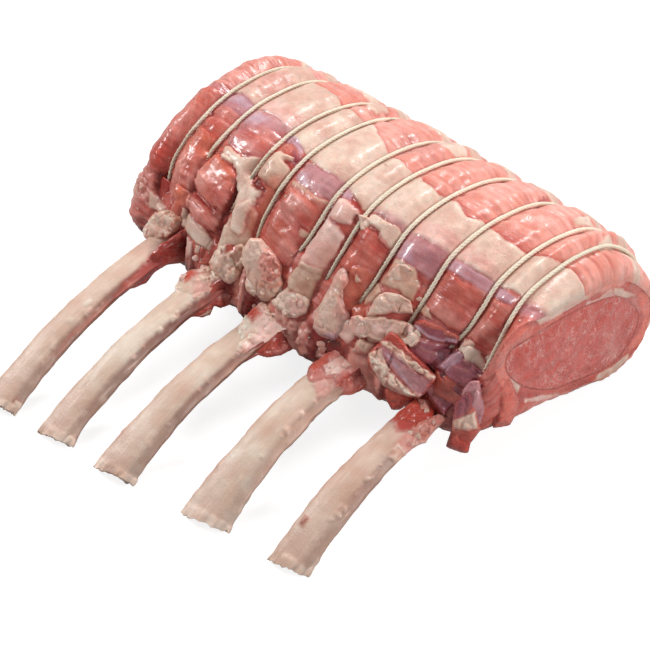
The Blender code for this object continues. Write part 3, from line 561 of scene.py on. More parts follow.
def finish_roll(points, places, x):
    """Paints and roughens the roll's grid of points (x, places, 3); returns points and attributes."""
    flat = np.stack(np.broadcast_arrays(x[:, None], arc_length(places)[None, :]), axis=-1)
    paint = Paint(points, "red")
    place = np.broadcast_to(places[None, :], points.shape[:2])
    paint.lay(1 - smooth_step(4.9, 5.4, place), "flesh", 11)
    paint.lay(smooth_step(10.4, 10.8, place) * (1 - smooth_step(13.3, 13.8, place)), "pale", 12)
    lay_patches(paint, flat, [(*patch[:5], on_roll(patch[5]), *patch[6:]) for patch in ROLL_PATCHES])
    fat, fibre = paint.grid(paint.values[:, FAT]), paint.grid(paint.values[:, FIBROUS])
    turned = turned_grain(flat, paint.grid(paint.turn))
    # paler and redder streaks along the fibres, and a pale bloom on the lean in front
    streaks = noise(turned, (24, 3.4, 9), 48) + 0.5 * noise(turned, (14, 1.6, 9), 49)
    on_front = 0.3 + 0.7 * smooth_step(5.3, 5.8, place)
    paint.lay(smooth_step(0.2, 0.8, streaks) * fibre * 0.5 * on_front, "pale", 50)
    paint.lay(smooth_step(0.2, 0.8, -streaks) * fibre * 0.3, "bright_red", 51)
    bloom = rough_noise(points, 9.0, 52) + 0.4 * noise(turned, (16, 2.4, 9), 53)
    bloom = smooth_step(0.0, 0.7, bloom) * (fibre > 0.5) * 0.5 * smooth_step(5.4, 5.8, place)
    paint.lay(bloom, "pale", 54, shade=1.12)
    paint.crumble()
    # folds along the fibres, soft lumps, and puckers across the loops where the twine gathers the flesh
    folds = noise(turned, (15, 4.2, 9), 41) * 0.8 + noise(turned, (9, 1.7, 9), 42) * 0.3
    lumps = rough_noise(points, 11.0, 43) * 1.2 + rough_noise(points, 2.6, 44) * 0.14
    to_loops = [np.abs(x - ridge) for ridge in RIDGES]
    to_twine = np.min(to_loops, axis=0)[:, None]
    beside = np.exp(-(((to_twine - 5) / 4.0) ** 2))
    crosswise = flat[..., [0, 1, 1]] * (1, 1, 0) + 1.5 * noise(points, 9.0, 47)[..., None] * (0, 1, 0)
    puckers = noise(crosswise, (12, 4.2, 9), 45) * 0.5 + noise(crosswise, (9, 2.0, 9), 46) * 0.25
    lift = paint.grid(paint.lift) + folds * (0.15 + 0.85 * fibre) * (1 - 0.7 * fat)
    lift = lift + lumps * (0.8 - 0.2 * fat)
    lift = lift + puckers * beside * (1.0 - 0.75 * fat) + 0.5 * smooth_step(3, 9, to_twine)
    lift = lift * smooth_step(0.4, 2.0, points[..., 2])
    beside_loop = np.exp(-((to_twine / 4.6) ** 2))
    hidden_from = np.array(HIDDEN_FROM)[np.argmin(to_loops, axis=0)][:, None]
    hidden = smooth_step(hidden_from, hidden_from + CLOSING, places[None])
    # nothing rises over a loop that shows, and a loop that is closed over stays covered
    lift = np.where(lift > 0, lift * (1 - beside_loop * (1 - hidden)), lift)
    lift = np.maximum(lift, -0.6 - 4 * (1 - beside_loop * hidden))
    # painted shade in the creases, and a little painted light on the rises
    paint_crease_shade(paint, lift, 4)
    return points + surface_normals(points) * lift[..., None], paint.attributes(turned)


CREASE_PAINTED_SHADE = np.array((0.16, 0.34, 0.34))  # how much darker painted shade makes a crease, in red, green and blue


def paint_crease_shade(paint, lift, reach):
    """Paints shade into creases, darker and redder than what rises round them, and a little light onto what
    stands out, within reach points each way.
    """
    around = lift
    for axis in (0, 1):
        around = sum(np.roll(around, step, axis=axis) for step in range(-reach, reach + 1)) / (2 * reach + 1)
    sunk = np.clip((around - lift) / 0.5, -0.4, 1.0).reshape(-1, 1)
    paint.tone *= 1 - sunk * CREASE_PAINTED_SHADE


def turned_grain(flat, turn):
    """Along and across the fibres, in millimetres, where the fibres are turned by so many degrees from X."""
    cos, sin = np.cos(np.radians(turn)), np.sin(np.radians(turn))
    along = flat[..., 0] * cos + flat[..., 1] * sin
    across = flat[..., 1] * cos - flat[..., 0] * sin
    return np.stack([along, across, turn * 0.7], axis=-1)


def straight_grain(flat):
    """Grain that isn't turned: the flat coordinates with a third of 0."""
    return np.concatenate([flat, np.zeros(flat.shape[:2] + (1,))], axis=-1)


# ======== pieces from grids of points ========
ROLL_FRAME_SHIFT = np.zeros(3)               # from the roll's own frame to the part's, filled in further down


def grid_piece(name, points, closed_rows, paints, caps=False):
    """A mesh through rows of equally many points. Each row closes round.

    closed_rows joins the last row to the first, and caps closes both ends with a flat face instead.
    paints is (tone, values, grain), each with one entry for every point.
    """
    rows, sides = points.shape[:2]
    vertices = (points.reshape(-1, 3) + ROLL_FRAME_SHIFT) * MM
    index = np.arange(rows * sides).reshape(rows, sides)
    below = index if closed_rows else index[:-1]
    above = np.roll(index, -1, axis=0) if closed_rows else index[1:]
    quads = np.stack([below, np.roll(below, -1, axis=1), np.roll(above, -1, axis=1), above], axis=-1)
    faces = quads.reshape(-1, 4).tolist()
    if caps:
        faces += [index[0][::-1].tolist(), index[-1].tolist()]
    mesh = bpy.data.meshes.new(name)
    mesh.from_pydata(vertices.tolist(), [], faces)
    mesh.update()
    piece = bpy.data.objects.new(name, mesh)
    bpy.context.scene.collection.objects.link(piece)
    store_paint(mesh, *paints)
    shell = bmesh.new()
    shell.from_mesh(mesh)
    if shell.calc_volume(signed=True) < 0:
        bmesh.ops.reverse_faces(shell, faces=shell.faces)
    shell.to_mesh(mesh)
    shell.free()
    mesh.shade_smooth()
    return piece


def join_grids(parts):
    """Grids of points with their paint, (points, tone, values, grain), one after another as one grid."""
    points, *paints = [np.concatenate(group) for group in zip(*parts)]
    return points, paints


def store_paint(mesh, tone, values, grain):
    """Writes the paint as the attributes that the materials read."""
    colours = mesh.attributes.new("tone", "FLOAT_COLOR", "POINT")
    tone = np.concatenate([tone.reshape(-1, 3), np.ones((tone.size // 3, 1))], axis=1)
    colours.data.foreach_set("color", np.clip(tone, 0, 1).astype(np.float32).ravel())
    for name, column in (("fibre", FIBROUS), ("wet", WET), ("fat", FAT)):
        attribute = mesh.attributes.new(name, "FLOAT", "POINT")
        attribute.data.foreach_set("value", values.reshape(-1, VALUES)[:, column].astype(np.float32))
    attribute = mesh.attributes.new("grain", "FLOAT_VECTOR", "POINT")
    attribute.data.foreach_set("vector", (grain.reshape(-1, 3) * MM).astype(np.float32).ravel())


def along_eye(x, pairs):
    """A pair of values at x, from the pairs given at EYE_X."""
    return [np.interp(x, EYE_X[::-1], np.array(pairs, float)[::-1, axis]) for axis in (0, 1)]


def eye_ring(x, places, margin=0.0, scale=1.0):
    """The loin eye's outline at x, moved out by margin and shrunk towards its middle by scale."""
    middle, shrink = along_eye(x, EYE_MIDDLE), along_eye(x, EYE_SCALE)
    knots = (np.array(EYE_OUTLINE, float) - EYE_MIDDLE[0]) * shrink
    ring = spline(knots, places)
    away = ring / np.linalg.norm(ring, axis=1, keepdims=True)
    ring = ring * scale + away * margin + middle
    return np.column_stack([np.full(len(ring), float(x)), ring])


EYE_OVERLAP = 0.3                            # the hole is this much tighter than the eye, so no gap shows
FACE_SUNK = 0.5                              # relief on the roll's ends starts this far inside its length


def hole_ring(x, outer):
    """The ring of the eye's hole at x whose points lie towards the points of the outer ring."""
    dense = eye_ring(x, np.arange(0, len(EYE_OUTLINE), 0.02), margin=-EYE_OVERLAP)
    middle_y, middle_z = along_eye(x, EYE_MIDDLE)
    angles = np.arctan2(dense[:, 2] - middle_z, dense[:, 1] - middle_y)
    order = np.argsort(angles)
    wanted = np.arctan2(outer[:, 2] - middle_z, outer[:, 1] - middle_y)
    columns = [np.interp(wanted, angles[order], dense[order, axis], period=2 * math.pi) for axis in (1, 2)]
    return np.column_stack([np.full(len(outer), float(x)), *columns])


def face_band(outer, inner, x_face, rows, patches):
    """The end of the roll between its outline and the eye's hole, painted by (y, z)."""
    steps = np.append(np.linspace(0, 0.998, rows + 1)[1:], 1)[:, None, None]
    band = outer[None] + (inner - outer)[None] * steps
    band[..., 0] = outer[None, :, 0] + (x_face - outer[None, :, 0]) * np.minimum(steps[..., 0] * 3, 1)
    paint = Paint(band, "red")
    flat = band[..., 1:]
    beside_eye = smooth_step(0.55, 0.95, steps[..., 0] + 0.15 * rough_noise(band, 8.0, 63))
    paint.lay(beside_eye * 0.9, "eye", 64)
    lay_patches(paint, flat, patches)
    paint.crumble()
    rise = paint.grid(paint.lift) * 0.8 + rough_noise(band, 7.0, 61) * 0.8 + rough_noise(band, 1.8, 62) * 0.2
    rise *= smooth_step(0, 0.25, steps[..., 0]) * smooth_step(1.0, 0.5, steps[..., 0])
    band[..., 0] += math.copysign(1, x_face) * (rise - FACE_SUNK)
    return band, *paint.attributes(straight_grain(flat))


# rows of points and patches on the two ends of the roll; where lengths of it meet, one row is enough
END_FACES = {CUT_FACE: (24, FACE_PATCHES), FAR_END: (24, FAR_FACE_PATCHES)}


def roll_piece(name, x_low, x_high):
    """One length of the roll between two loops of twine: a closed body with the eye's hole through it."""
    x = np.linspace(x_low, x_high, int((x_high - x_low) / FINE))
    points, attributes = finish_roll(roll_surface(x, PLACES), PLACES, x)
    parts = [(points, *attributes)]
    for end, outer in ((x_high, points[-1]), (x_low, points[0])):
        rows, patches = END_FACES.get(end, (1, ()))
        band = face_band(outer, hole_ring(end, outer), end, rows, patches)
        middle = (x_low + x_high) / 2
        # a close pair of rings keeps the hole's rim crisp
        inwards = math.copysign(0.05, middle - end)
        tunnel_x = np.append(end + inwards, np.linspace(end, middle, 5)[1:])
        tunnel = np.stack([hole_ring(at, outer) for at in tunnel_x])
        pair = [band, (tunnel, *Paint(tunnel, "red").attributes(tunnel))]
        if end == x_high:
            parts += pair
        else:
            parts += [tuple(a[::-1] for a in group) for group in reversed(pair)]
    points, paints = join_grids(parts)
    return grid_piece(name, points, True, paints)


# the roll's far end and the lowest y of the eye's outline are where the CAD nodes have them
eye_outline = eye_ring(CUT_FACE, np.arange(0, len(EYE_OUTLINE), 0.5))
ROLL_FRAME_SHIFT[:2] = (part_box("meat")[0][0] / MM - FAR_END,
                        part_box("loin_eye")[0][1] / MM - eye_outline[:, 1].min())

roll_ends = (FAR_END, RIDGES[3], RIDGES[6], CUT_FACE)
roll_names = ("roll_far", "roll_middle", "roll_near")
roll_pieces = [roll_piece(*values) for values in zip(roll_names, roll_ends, roll_ends[1:])]


# ======== the loin eye ========
EYE_PATCHES = (
    ("eye_dark", 0, 1, 3.0, 5.0, ((42, 66), (62, 66), (64, 58), (50, 54), (44, 58))),
    ("eye_dark", 0, 1, 3.0, 4.0, ((-14, 78), (4, 72), (2, 64), (-12, 66))),
    ("eye_dark", 0, 1, 3.0, 4.0, ((8, 72), (40, 76), (40, 68), (12, 66)), 0, 1.05),
    ("eye_dark", 0, 1, 3.0, 6.0, ((70, 24), (86, 28), (86, 14), (70, 14))),
    ("pale", 0, 1, 2.0, 3.0, ((64, 30), (70, 28), (74, 12), (68, 12))),
)
EYE_SIDES = 300
# x of the rings along the eye, closer where it turns into the cut face
EYE_RINGS = (-111, -100, -80, -20, 40, 95, 110, 115, 118, 120, 121.5, 122.5, 123.2, 123.8, 124.3, 124.5)
EYE_GRAIN = -60.0                            # degrees that the marbling is turned
DOME_HEIGHT, RIM_SUNK = 0.9, 0.42            # the cut face stands out in the middle and sinks at the rim


def loin_eye():
    """The eye of the loin: a muscle right through the roll, with a slightly domed, marbled cut face."""
    places = np.arange(EYE_SIDES) / EYE_SIDES * len(EYE_OUTLINE)
    sides = np.stack([eye_ring(at, places) for at in EYE_RINGS])
    scales = np.append(1.0, np.linspace(0.998, 0, 91)[:-1])        # a close pair of rings keeps the rim crisp
    face = np.stack([eye_ring(CUT_FACE, places, scale=scale) for scale in scales])
    far_face = np.stack([eye_ring(FAR_END, places, scale=scale) for scale in np.linspace(0, 1, 14)[1:-1]])
    rim = (1 - scales)[:, None]
    swell = rough_noise(face, 11.0, 71) * 1.3 * smooth_step(0, 0.3, rim)
    face[..., 0] += DOME_HEIGHT * smooth_step(0, 0.5, rim) - RIM_SUNK + swell
    points = np.concatenate([far_face, sides, face])
    flat = points[..., 1:]
    paint = Paint(points, "eye")
    lay_patches(paint, flat, EYE_PATCHES)
    slanted = turned_grain(flat, np.full(flat.shape[:2], EYE_GRAIN))
    relief = noise(slanted, (9, 2.0, 9), 72) * 0.3 + rough_noise(points, 2.4, 73) * 0.2
    points[-len(scales):, :, 0] += relief[-len(scales):] * smooth_step(0, 0.05, rim)
    return grid_piece("loin_eye_cut", points, False, paint.attributes(slanted), caps=True)


eye = loin_eye()


# ======== twine ========
TWINE_RADIUS = 0.95
TWINE_STAND_OFF = 0.45                       # the cord's middle lies this much further out than its radius
TWINE_STEP, TWINE_SIDES = 0.65, 18           # millimetres between its sections, and points round each
TWINE_LAY = 6.5                              # millimetres in which a strand goes once round the cord
TWINE_DRY, TWINE_SOAKED_AND_SHADED = srgb("#F3E8D2"), srgb("#C4AA88")
TOUCH_DEPTH = 0.009                          # the loop touches what stands out this much, in millimetres


def taut_loop(ring):
    """The points of a ring that a taut loop round it touches."""
    order = np.lexsort((ring[:, 2], ring[:, 1]))
    hull = []
    for indices in (order, order[::-1]):
        chain = []
        for index in indices:
            while len(chain) > 1:
                first, second = ring[chain[-1]] - ring[chain[-2]], ring[index] - ring[chain[-1]]
                turning = first[1] * second[2] - first[2] * second[1]
                if turning > TOUCH_DEPTH * np.linalg.norm(first + second):
                    break
                chain.pop()
            chain.append(index)
        hull += chain[:-1]
    return ring[hull]


def evenly(loop, step):
    """A closed line resampled at even steps, with its corners eased."""
    closed = np.vstack([loop, loop[:1]])
    lengths = np.concatenate([[0], np.cumsum(np.linalg.norm(np.diff(closed, axis=0), axis=1))])
    count = int(lengths[-1] / step)
    at = np.arange(count) / count * lengths[-1]
    points = np.column_stack([np.interp(at, lengths, closed[:, axis]) for axis in range(3)])
    for _ in range(4):
        points = (np.roll(points, 1, axis=0) + 2 * points + np.roll(points, -1, axis=0)) / 4
    return points


def twine_loop(number, ridge):
    """A loop of three strands laid up together, as one lobed cord that twists along its way."""
    ring = roll_surface(np.array([ridge - 0.5, ridge, ridge + 0.5]), PLACES, under_twine=True)[1]
    path = evenly(taut_loop(ring), TWINE_STEP)
    along = np.roll(path, -1, axis=0) - np.roll(path, 1, axis=0)
    along /= np.linalg.norm(along, axis=1, keepdims=True)
    out = np.column_stack([np.zeros(len(path)), along[:, 2], -along[:, 1]])
    out /= np.linalg.norm(out, axis=1, keepdims=True)
    side = np.cross(along, out)
    stray = 0.25 * noise(path, 14.0, 80 + number)
    path = path + out * (TWINE_RADIUS + TWINE_STAND_OFF) + side * stray[:, None]
    angles = np.arange(TWINE_SIDES) / TWINE_SIDES * math.tau
    turns = round(len(path) * TWINE_STEP / TWINE_LAY)
    twist = np.arange(len(path)) / len(path) * turns * math.tau
    strand = (angles[None] - twist[:, None]) % (math.tau / 3) - math.tau / 6
    radius = TWINE_RADIUS * (0.5 * np.cos(strand) + np.sqrt(0.27 - (0.5 * np.sin(strand)) ** 2)) * 1.06
    on_strand = np.stack(np.broadcast_arrays(twist[:, None] * 2.5, angles[None] * 3, number), axis=-1)
    radius = radius * (1 + 0.1 * noise(on_strand, 1.0, 81))
    ring_points = (path[:, None] + out[:, None] * (np.cos(angles)[None] * radius)[..., None]
                   + side[:, None] * (np.sin(angles)[None] * radius)[..., None])
    # darker towards the bottom, partly from soaking and partly as painted shade, with blotches of soaking all
    # over
    lower_down = smooth_step(95, 30, ring_points[..., 2])[..., None]
    blotches = rough_noise(ring_points, 7.0, 82)[..., None]
    soaked_and_shaded = lower_down * 0.35 + 0.25 * (0.5 + 0.5 * blotches)
    tone = TWINE_DRY * (1 - soaked_and_shaded) + TWINE_SOAKED_AND_SHADED * soaked_and_shaded
    outside = smooth_step(0.62, 0.9, radius / TWINE_RADIUS)[..., None]
    tone = tone * (0.7 + 0.3 * outside)                          # painted shade: darker between the strands
    values = np.zeros(ring_points.shape[:2] + (VALUES,))
    along_cord, round_cord = np.arange(len(path))[:, None] * TWINE_STEP, angles[None] * TWINE_RADIUS
    grain = np.stack(np.broadcast_arrays(along_cord, round_cord, 0.0), axis=-1)
    return grid_piece(f"twine_loop_{number}", ring_points, True, (tone, values, grain))


twines = [twine_loop(number, ridge) for number, ridge in enumerate(RIDGES, start=1)]

# ======== ribs ========
# x at the top of the arch, x and y of the tip, and the width at the arch and at the tip
RIBS = (
    (-72.5, -71.5, -150, 16.0, 18.5),
    (-35.5, -37.0, -145, 16.0, 19.0),
    (4.5, 0.0, -141, 16.5, 22.0),
    (50.0, 50.5, -131, 19.0, 24.5),
    (97.0, 96.0, -123, 17.0, 21.5),
)
RIB_APEX_Y, RIB_APEX_Z = -34.0, 34.5
RIB_INNER_Y, RIB_INNER_RADIUS = 56.0, 200.0
RIB_THICKNESS, RIB_TIP_Z, RIB_BEND, RIB_TIP_SLANT = 9.0, 3.2, 2.3, 0.24
RIB_BARE_Y = -22                             # from here on it may show, and has a section every RIB_STEP
RIB_STEP, RIB_SIDES = 0.8, 64


def rib_frame(rib, y):
    """The rib's middle at y, the way it runs, across it and up from it."""
    root_x, tip_x, tip_y = rib[:3]
    slope_x = (tip_x - root_x) / (tip_y - RIB_APEX_Y)
    reach = np.maximum((RIB_APEX_Y - y) / (RIB_APEX_Y - tip_y), 0)
    drop = RIB_APEX_Z - RIB_TIP_Z
    inner = y > RIB_APEX_Y
    z = np.where(inner, RIB_APEX_Z - (y - RIB_APEX_Y) ** 2 / (2 * RIB_INNER_RADIUS),
                 RIB_APEX_Z - drop * reach ** RIB_BEND)
    slope_z = np.where(inner, -(y - RIB_APEX_Y) / RIB_INNER_RADIUS,
                       drop * RIB_BEND * reach ** (RIB_BEND - 1) / (RIB_APEX_Y - tip_y))
    along = -np.stack([np.full_like(y, slope_x), np.ones_like(y), slope_z], axis=-1)
    along /= np.linalg.norm(along, axis=-1, keepdims=True)
    across = -np.cross(along, (0, 0, 1.0))
    across /= np.linalg.norm(across, axis=-1, keepdims=True)
    up = np.cross(along, across)
    up *= np.sign(up[..., 2:])
    middle = np.stack([root_x + slope_x * (y - RIB_APEX_Y), y, z], axis=-1)
    return middle, along, across, up, reach


def rib_piece(number, rib):
    """A rib scraped with the knife: worn edges, scraps of flesh along one flank, and a torn tip."""
    tip_y, root_width, tip_width = rib[2:]
    in_roll = np.linspace(RIB_INNER_Y, RIB_BARE_Y, 16)[:-1]
    y = np.concatenate([in_roll, np.arange(RIB_BARE_Y, tip_y, -RIB_STEP), [tip_y]])
    middle, along, across, up, reach = rib_frame(rib, y)
    half_width = (root_width + (tip_width - root_width) * reach ** 2) / 2
    turn = np.arange(RIB_SIDES) / RIB_SIDES * math.tau
    cos, sin = np.cos(turn), np.sin(turn)
    # the section: a flattened oval, worn lower along its right edge
    wide = np.sign(cos) * np.abs(cos) ** 0.75
    high = np.sign(sin) * np.abs(sin) ** 0.8
    high = np.where(high > 0, high * (1 - 0.6 * np.clip(wide, 0, 1) ** 2), high)
    high = np.broadcast_to(high, (len(y), RIB_SIDES))
    left_edge = 1 + 0.06 * noise(middle, 16.0, 90 + number) + 0.04 * noise(middle, 5.0, 95 + number)
    right_edge = 1 + 0.06 * noise(middle, 13.0, 190 + number) + 0.05 * noise(middle, 5.0, 195 + number)
    edge = np.where(wide[None] < 0, left_edge[:, None], right_edge[:, None])
    sideways = wide[None] * half_width[:, None] * edge
    lift = high * RIB_THICKNESS / 2
    slant = RIB_TIP_SLANT * smooth_step(tip_y + 8, tip_y, y)[:, None] * sideways
    points = (middle[:, None] + across[:, None] * sideways[..., None] + up[:, None] * lift[..., None]
              - along[:, None] * slant[..., None])
    on_top = np.broadcast_to(sin[None], lift.shape)
    flat = np.stack([np.broadcast_to(y[:, None], lift.shape), sideways], axis=-1)
    wrapped = np.concatenate([flat, on_top[..., None]], axis=-1)     # along, across, and up from underneath
    # pinker streaks, then painted shade down the right flank with scraps along it, fat at the tip, painted
    # shade underneath and flesh at the root
    paint = Paint(points, "bone", 40 + number)
    streaks = rough_noise(wrapped * (1, 1, 3), (11, 2.4, 3), 97 + number)
    broad = rough_noise(points, 16.0, 82 + number)
    paint.lay(smooth_step(-0.3, 0.8, 0.5 * streaks + 0.9 * broad) * 0.75, "bone_pink", 98)
    outer = sideways / half_width[:, None]
    if number in (1, 5):                                         # the two at the ends are pinker
        paint.lay(np.full(paint.shape, 0.5), "bone_pink", 77)
    paint.lay(smooth_step(-0.75, -1.0, outer) * 0.5, "pale", 91)
    wander = 0.12 * rough_noise(points, 8.0, 83)
    # painted shade down the right flank, stronger towards the root
    flank = smooth_step(0.38, 0.7, outer + wander) * smooth_step(1.02, 0.75, on_top)
    fade = smooth_step(tip_y, -60, y)[:, None]
    paint.lay(flank * (0.35 + 0.65 * fade) * (0.55 if number > 3 else 1.0), "bone_dark", 99)
    scraps = smooth_step(0.35, 0.6, outer + wander) * smooth_step(0.8, 0.65, outer + wander)
    scraps = scraps * smooth_step(0.15, 0.45, rough_noise(points, 2.8, 84)) * (0.3 + 0.7 * fade)
    paint.lay(scraps * 0.9, "crumb", 79)
    paint.lift += scraps.reshape(-1) * 0.6
    paint.lay(smooth_step(tip_y + 30, tip_y + 4, y)[:, None] * smooth_step(0.8, 0.4, outer) * 0.5, "fat", 78)
    # painted shade underneath
    paint.lay(smooth_step(0.0, -0.6, on_top) * (0.3 + 0.5 * fade), "bone_dark", 96)
    root = smooth_step(-58, -38, y[:, None] + 9 * rough_noise(points, 9.0, 92 + number))
    paint.lay(root * 0.7, "fat_pink", 93)
    top = smooth_step(-0.2, 0.2, on_top)
    lay_patches(paint, flat, RIB_PATCHES[number - 1], top)
    paint.crumble()
    # the tip is torn: crumbly teeth, and a cap of rings that shrink to its middle
    ragged = smooth_step(tip_y + 2.6, tip_y + 0.6, y)[:, None] * np.ones_like(on_top)
    teeth = noise(wrapped * (1, 1, 2), (5.0, 1.1, 3), 84 + number)
    torn_edge = smooth_step(0.1, 0.6, smooth_step(tip_y + 5.0, tip_y + 1.0, y)[:, None] + 0.45 * teeth)
    paint.lay(torn_edge * 0.85, "crumb", 94)
    # painted shade between the torn teeth
    paint.tone *= 1 - 0.22 * (torn_edge * smooth_step(0.1, -0.5, teeth)).reshape(-1, 1)
    relief = (noise(wrapped * (1, 1, 2), (18, 2.4, 3), 88) * 0.1 + rough_noise(points, 3.0, 89) * 0.14
              + rough_noise(points, 1.2, 87) * 0.5 * ragged + torn_edge * (0.25 + 0.5 * teeth)
              + paint.grid(paint.lift))
    points = points + surface_normals(points) * relief[..., None]
    points += (along[:, None] * (ragged * (0.6 + 1.2 * noise(points, 1.5, 85)))[..., None])
    points[..., 2] = np.maximum(points[..., 2], 0)
    tip_middle = points[-1].mean(axis=0)
    cap = tip_middle + (points[-1] - tip_middle)[None] * np.linspace(1, 0, 14)[1:-1, None, None]
    cap += along[-1] * (rough_noise(cap, 1.6, 86)[..., None] * 0.8 - 0.6)
    cap[..., 2] = np.maximum(cap[..., 2], 0)
    points, paints = join_grids(((points, *paint.attributes(straight_grain(flat))),
                                 (cap, *Paint(cap, "crumb").attributes(straight_grain(cap[..., :2])))))
    return grid_piece(f"rib_bone_{number}", points, False, paints, caps=True)


# patches on top of each rib, corners as (y, across)
RIB_PATCHES = (
    (
        ("red", 0.8, 3, 1.0, 1.0, ((-28, 3), (-50, 4), (-72, 6), (-84, 9), (-60, 14), (-28, 14)), 0, 0.85),
        ("fat", 0.4, 2, 1.2, 0.8, ((-28, -8), (-36, -9), (-46, -6), (-50, -1), (-42, 2), (-28, 3))),
        ("bone", 0.5, 1, 0.6, 0.4, ((-89, 0), (-93, 0), (-93, 3), (-89, 3))),
        ("bone", 0.4, 1, 0.6, 0.4, ((-101, 1), (-104, 1), (-104, 3), (-101, 3))),
        ("orange", 0.0, 1, 0.8, 0.8, ((-85, 6.9), (-104, 6.9), (-118, 7.2), (-104, 7.6),
                                      (-85, 7.6)), 0, 1.1),
        ("bone", 0.8, 1.5, 0.6, 0.5, ((-144, 7), (-149, 7), (-149, 12), (-144, 12))),
    ),
    (
        ("crumb", 0.8, 2, 1.0, 0.8, ((-24, -9), (-38, -8), (-46, -4), (-44, 4), (-34, 5), (-24, 5))),
        ("red", 0.5, 2, 1.0, 0.8, ((-28, -14), (-42, -14), (-43, -5), (-34, -6), (-28, -8))),
        ("red", 0.6, 3, 1.0, 1.0, ((-28, 6), (-44, 6), (-60, 8), (-58, 14), (-28, 14)), 0, 0.8),
        ("bone", 0.6, 1.2, 0.5, 0.4, ((-70, 4), (-73, 4), (-73, 6), (-70, 6))),
        ("bone", 0.6, 1.2, 0.5, 0.4, ((-79, 4), (-81.5, 4), (-81.5, 6), (-79, 6))),
        ("bone", 0.7, 1.5, 0.5, 0.4, ((-141, 8), (-145, 8), (-145, 13), (-141, 13))),
    ),
    (
        ("crumb", 0.7, 2, 1.2, 0.8, ((-24, -6), (-40, -6), (-56, -2), (-60, 3), (-48, 5), (-24, 5))),
        ("red", 0.6, 3, 1.0, 1.0, ((-25, 5), (-46, 5), (-58, 8), (-56, 16), (-25, 16)), 0, 0.8),
        ("bone_pink", 0.0, 2, 0.8, 3.0, ((-60, 7), (-84, 8), (-102, 10), (-88, 12), (-60, 12))),
    ),
    (
        ("crumb_pink", 0.8, 2, 1.2, 0.8, ((-26, -4), (-44, -4), (-58, 0), (-62, 6), (-46, 7), (-26, 7))),
        ("bright_red", 0.6, 2, 1.0, 0.8, ((-30, -14), (-48, -14), (-50, -5), (-42, -2), (-30, -2))),
        ("red", 0.6, 2, 1.0, 0.8, ((-33, 7), (-50, 8), (-54, 15), (-33, 16)), 0, 0.85),
        ("bone_pink", 0.0, 2, 0.8, 3.0, ((-52, 7), (-90, 8), (-112, 11), (-96, 13), (-52, 12))),
    ),
    (
        ("bright_red", 0.8, 3, 0.8, 0.6, ((-26, -9), (-42, -9), (-50, -7), (-53, 0), (-48, 5), (-26, 6))),
        ("crumb_pink", 0.8, 2, 1.0, 0.6, ((-44, 4), (-54, 3), (-62, 6), (-60, 11), (-42, 12))),
        ("crumb", 0.6, 1.5, 0.8, 0.5, ((-57, 4), (-64, 6), (-64, 10), (-58, 9))),
        ("orange", 0.5, 1, 0.9, 0.4, ((-103, -6), (-108, -6), (-109, -3), (-104, -2.5)), 0, 0.75),
        ("deep", 0.0, 1, 0.6, 0.6, ((-105, -5), (-107, -5), (-107, -4), (-105, -4)), 0, 1.2),
    ),
)

ribs = [rib_piece(number, rib) for number, rib in enumerate(RIBS, start=1)]


# ======== trimmings: loose lumps, flaps and blocks of fat and lean along the front ========
# Each is drawn on a sloping board that looks up and forwards: across it along ACROSS, up it along UPWARDS.
OUTWARDS = np.array((0.49, -0.51, 0.707))
ACROSS = np.array((0.72, 0.694, 0.0))
UPWARDS = np.cross(OUTWARDS, ACROSS)
FRONT_FACING = (0.2, -0.85, 0.5)
TOP_FACING = (0.1, -0.25, 0.97)
SIDE_FACING = (0.85, -0.4, 0.35)
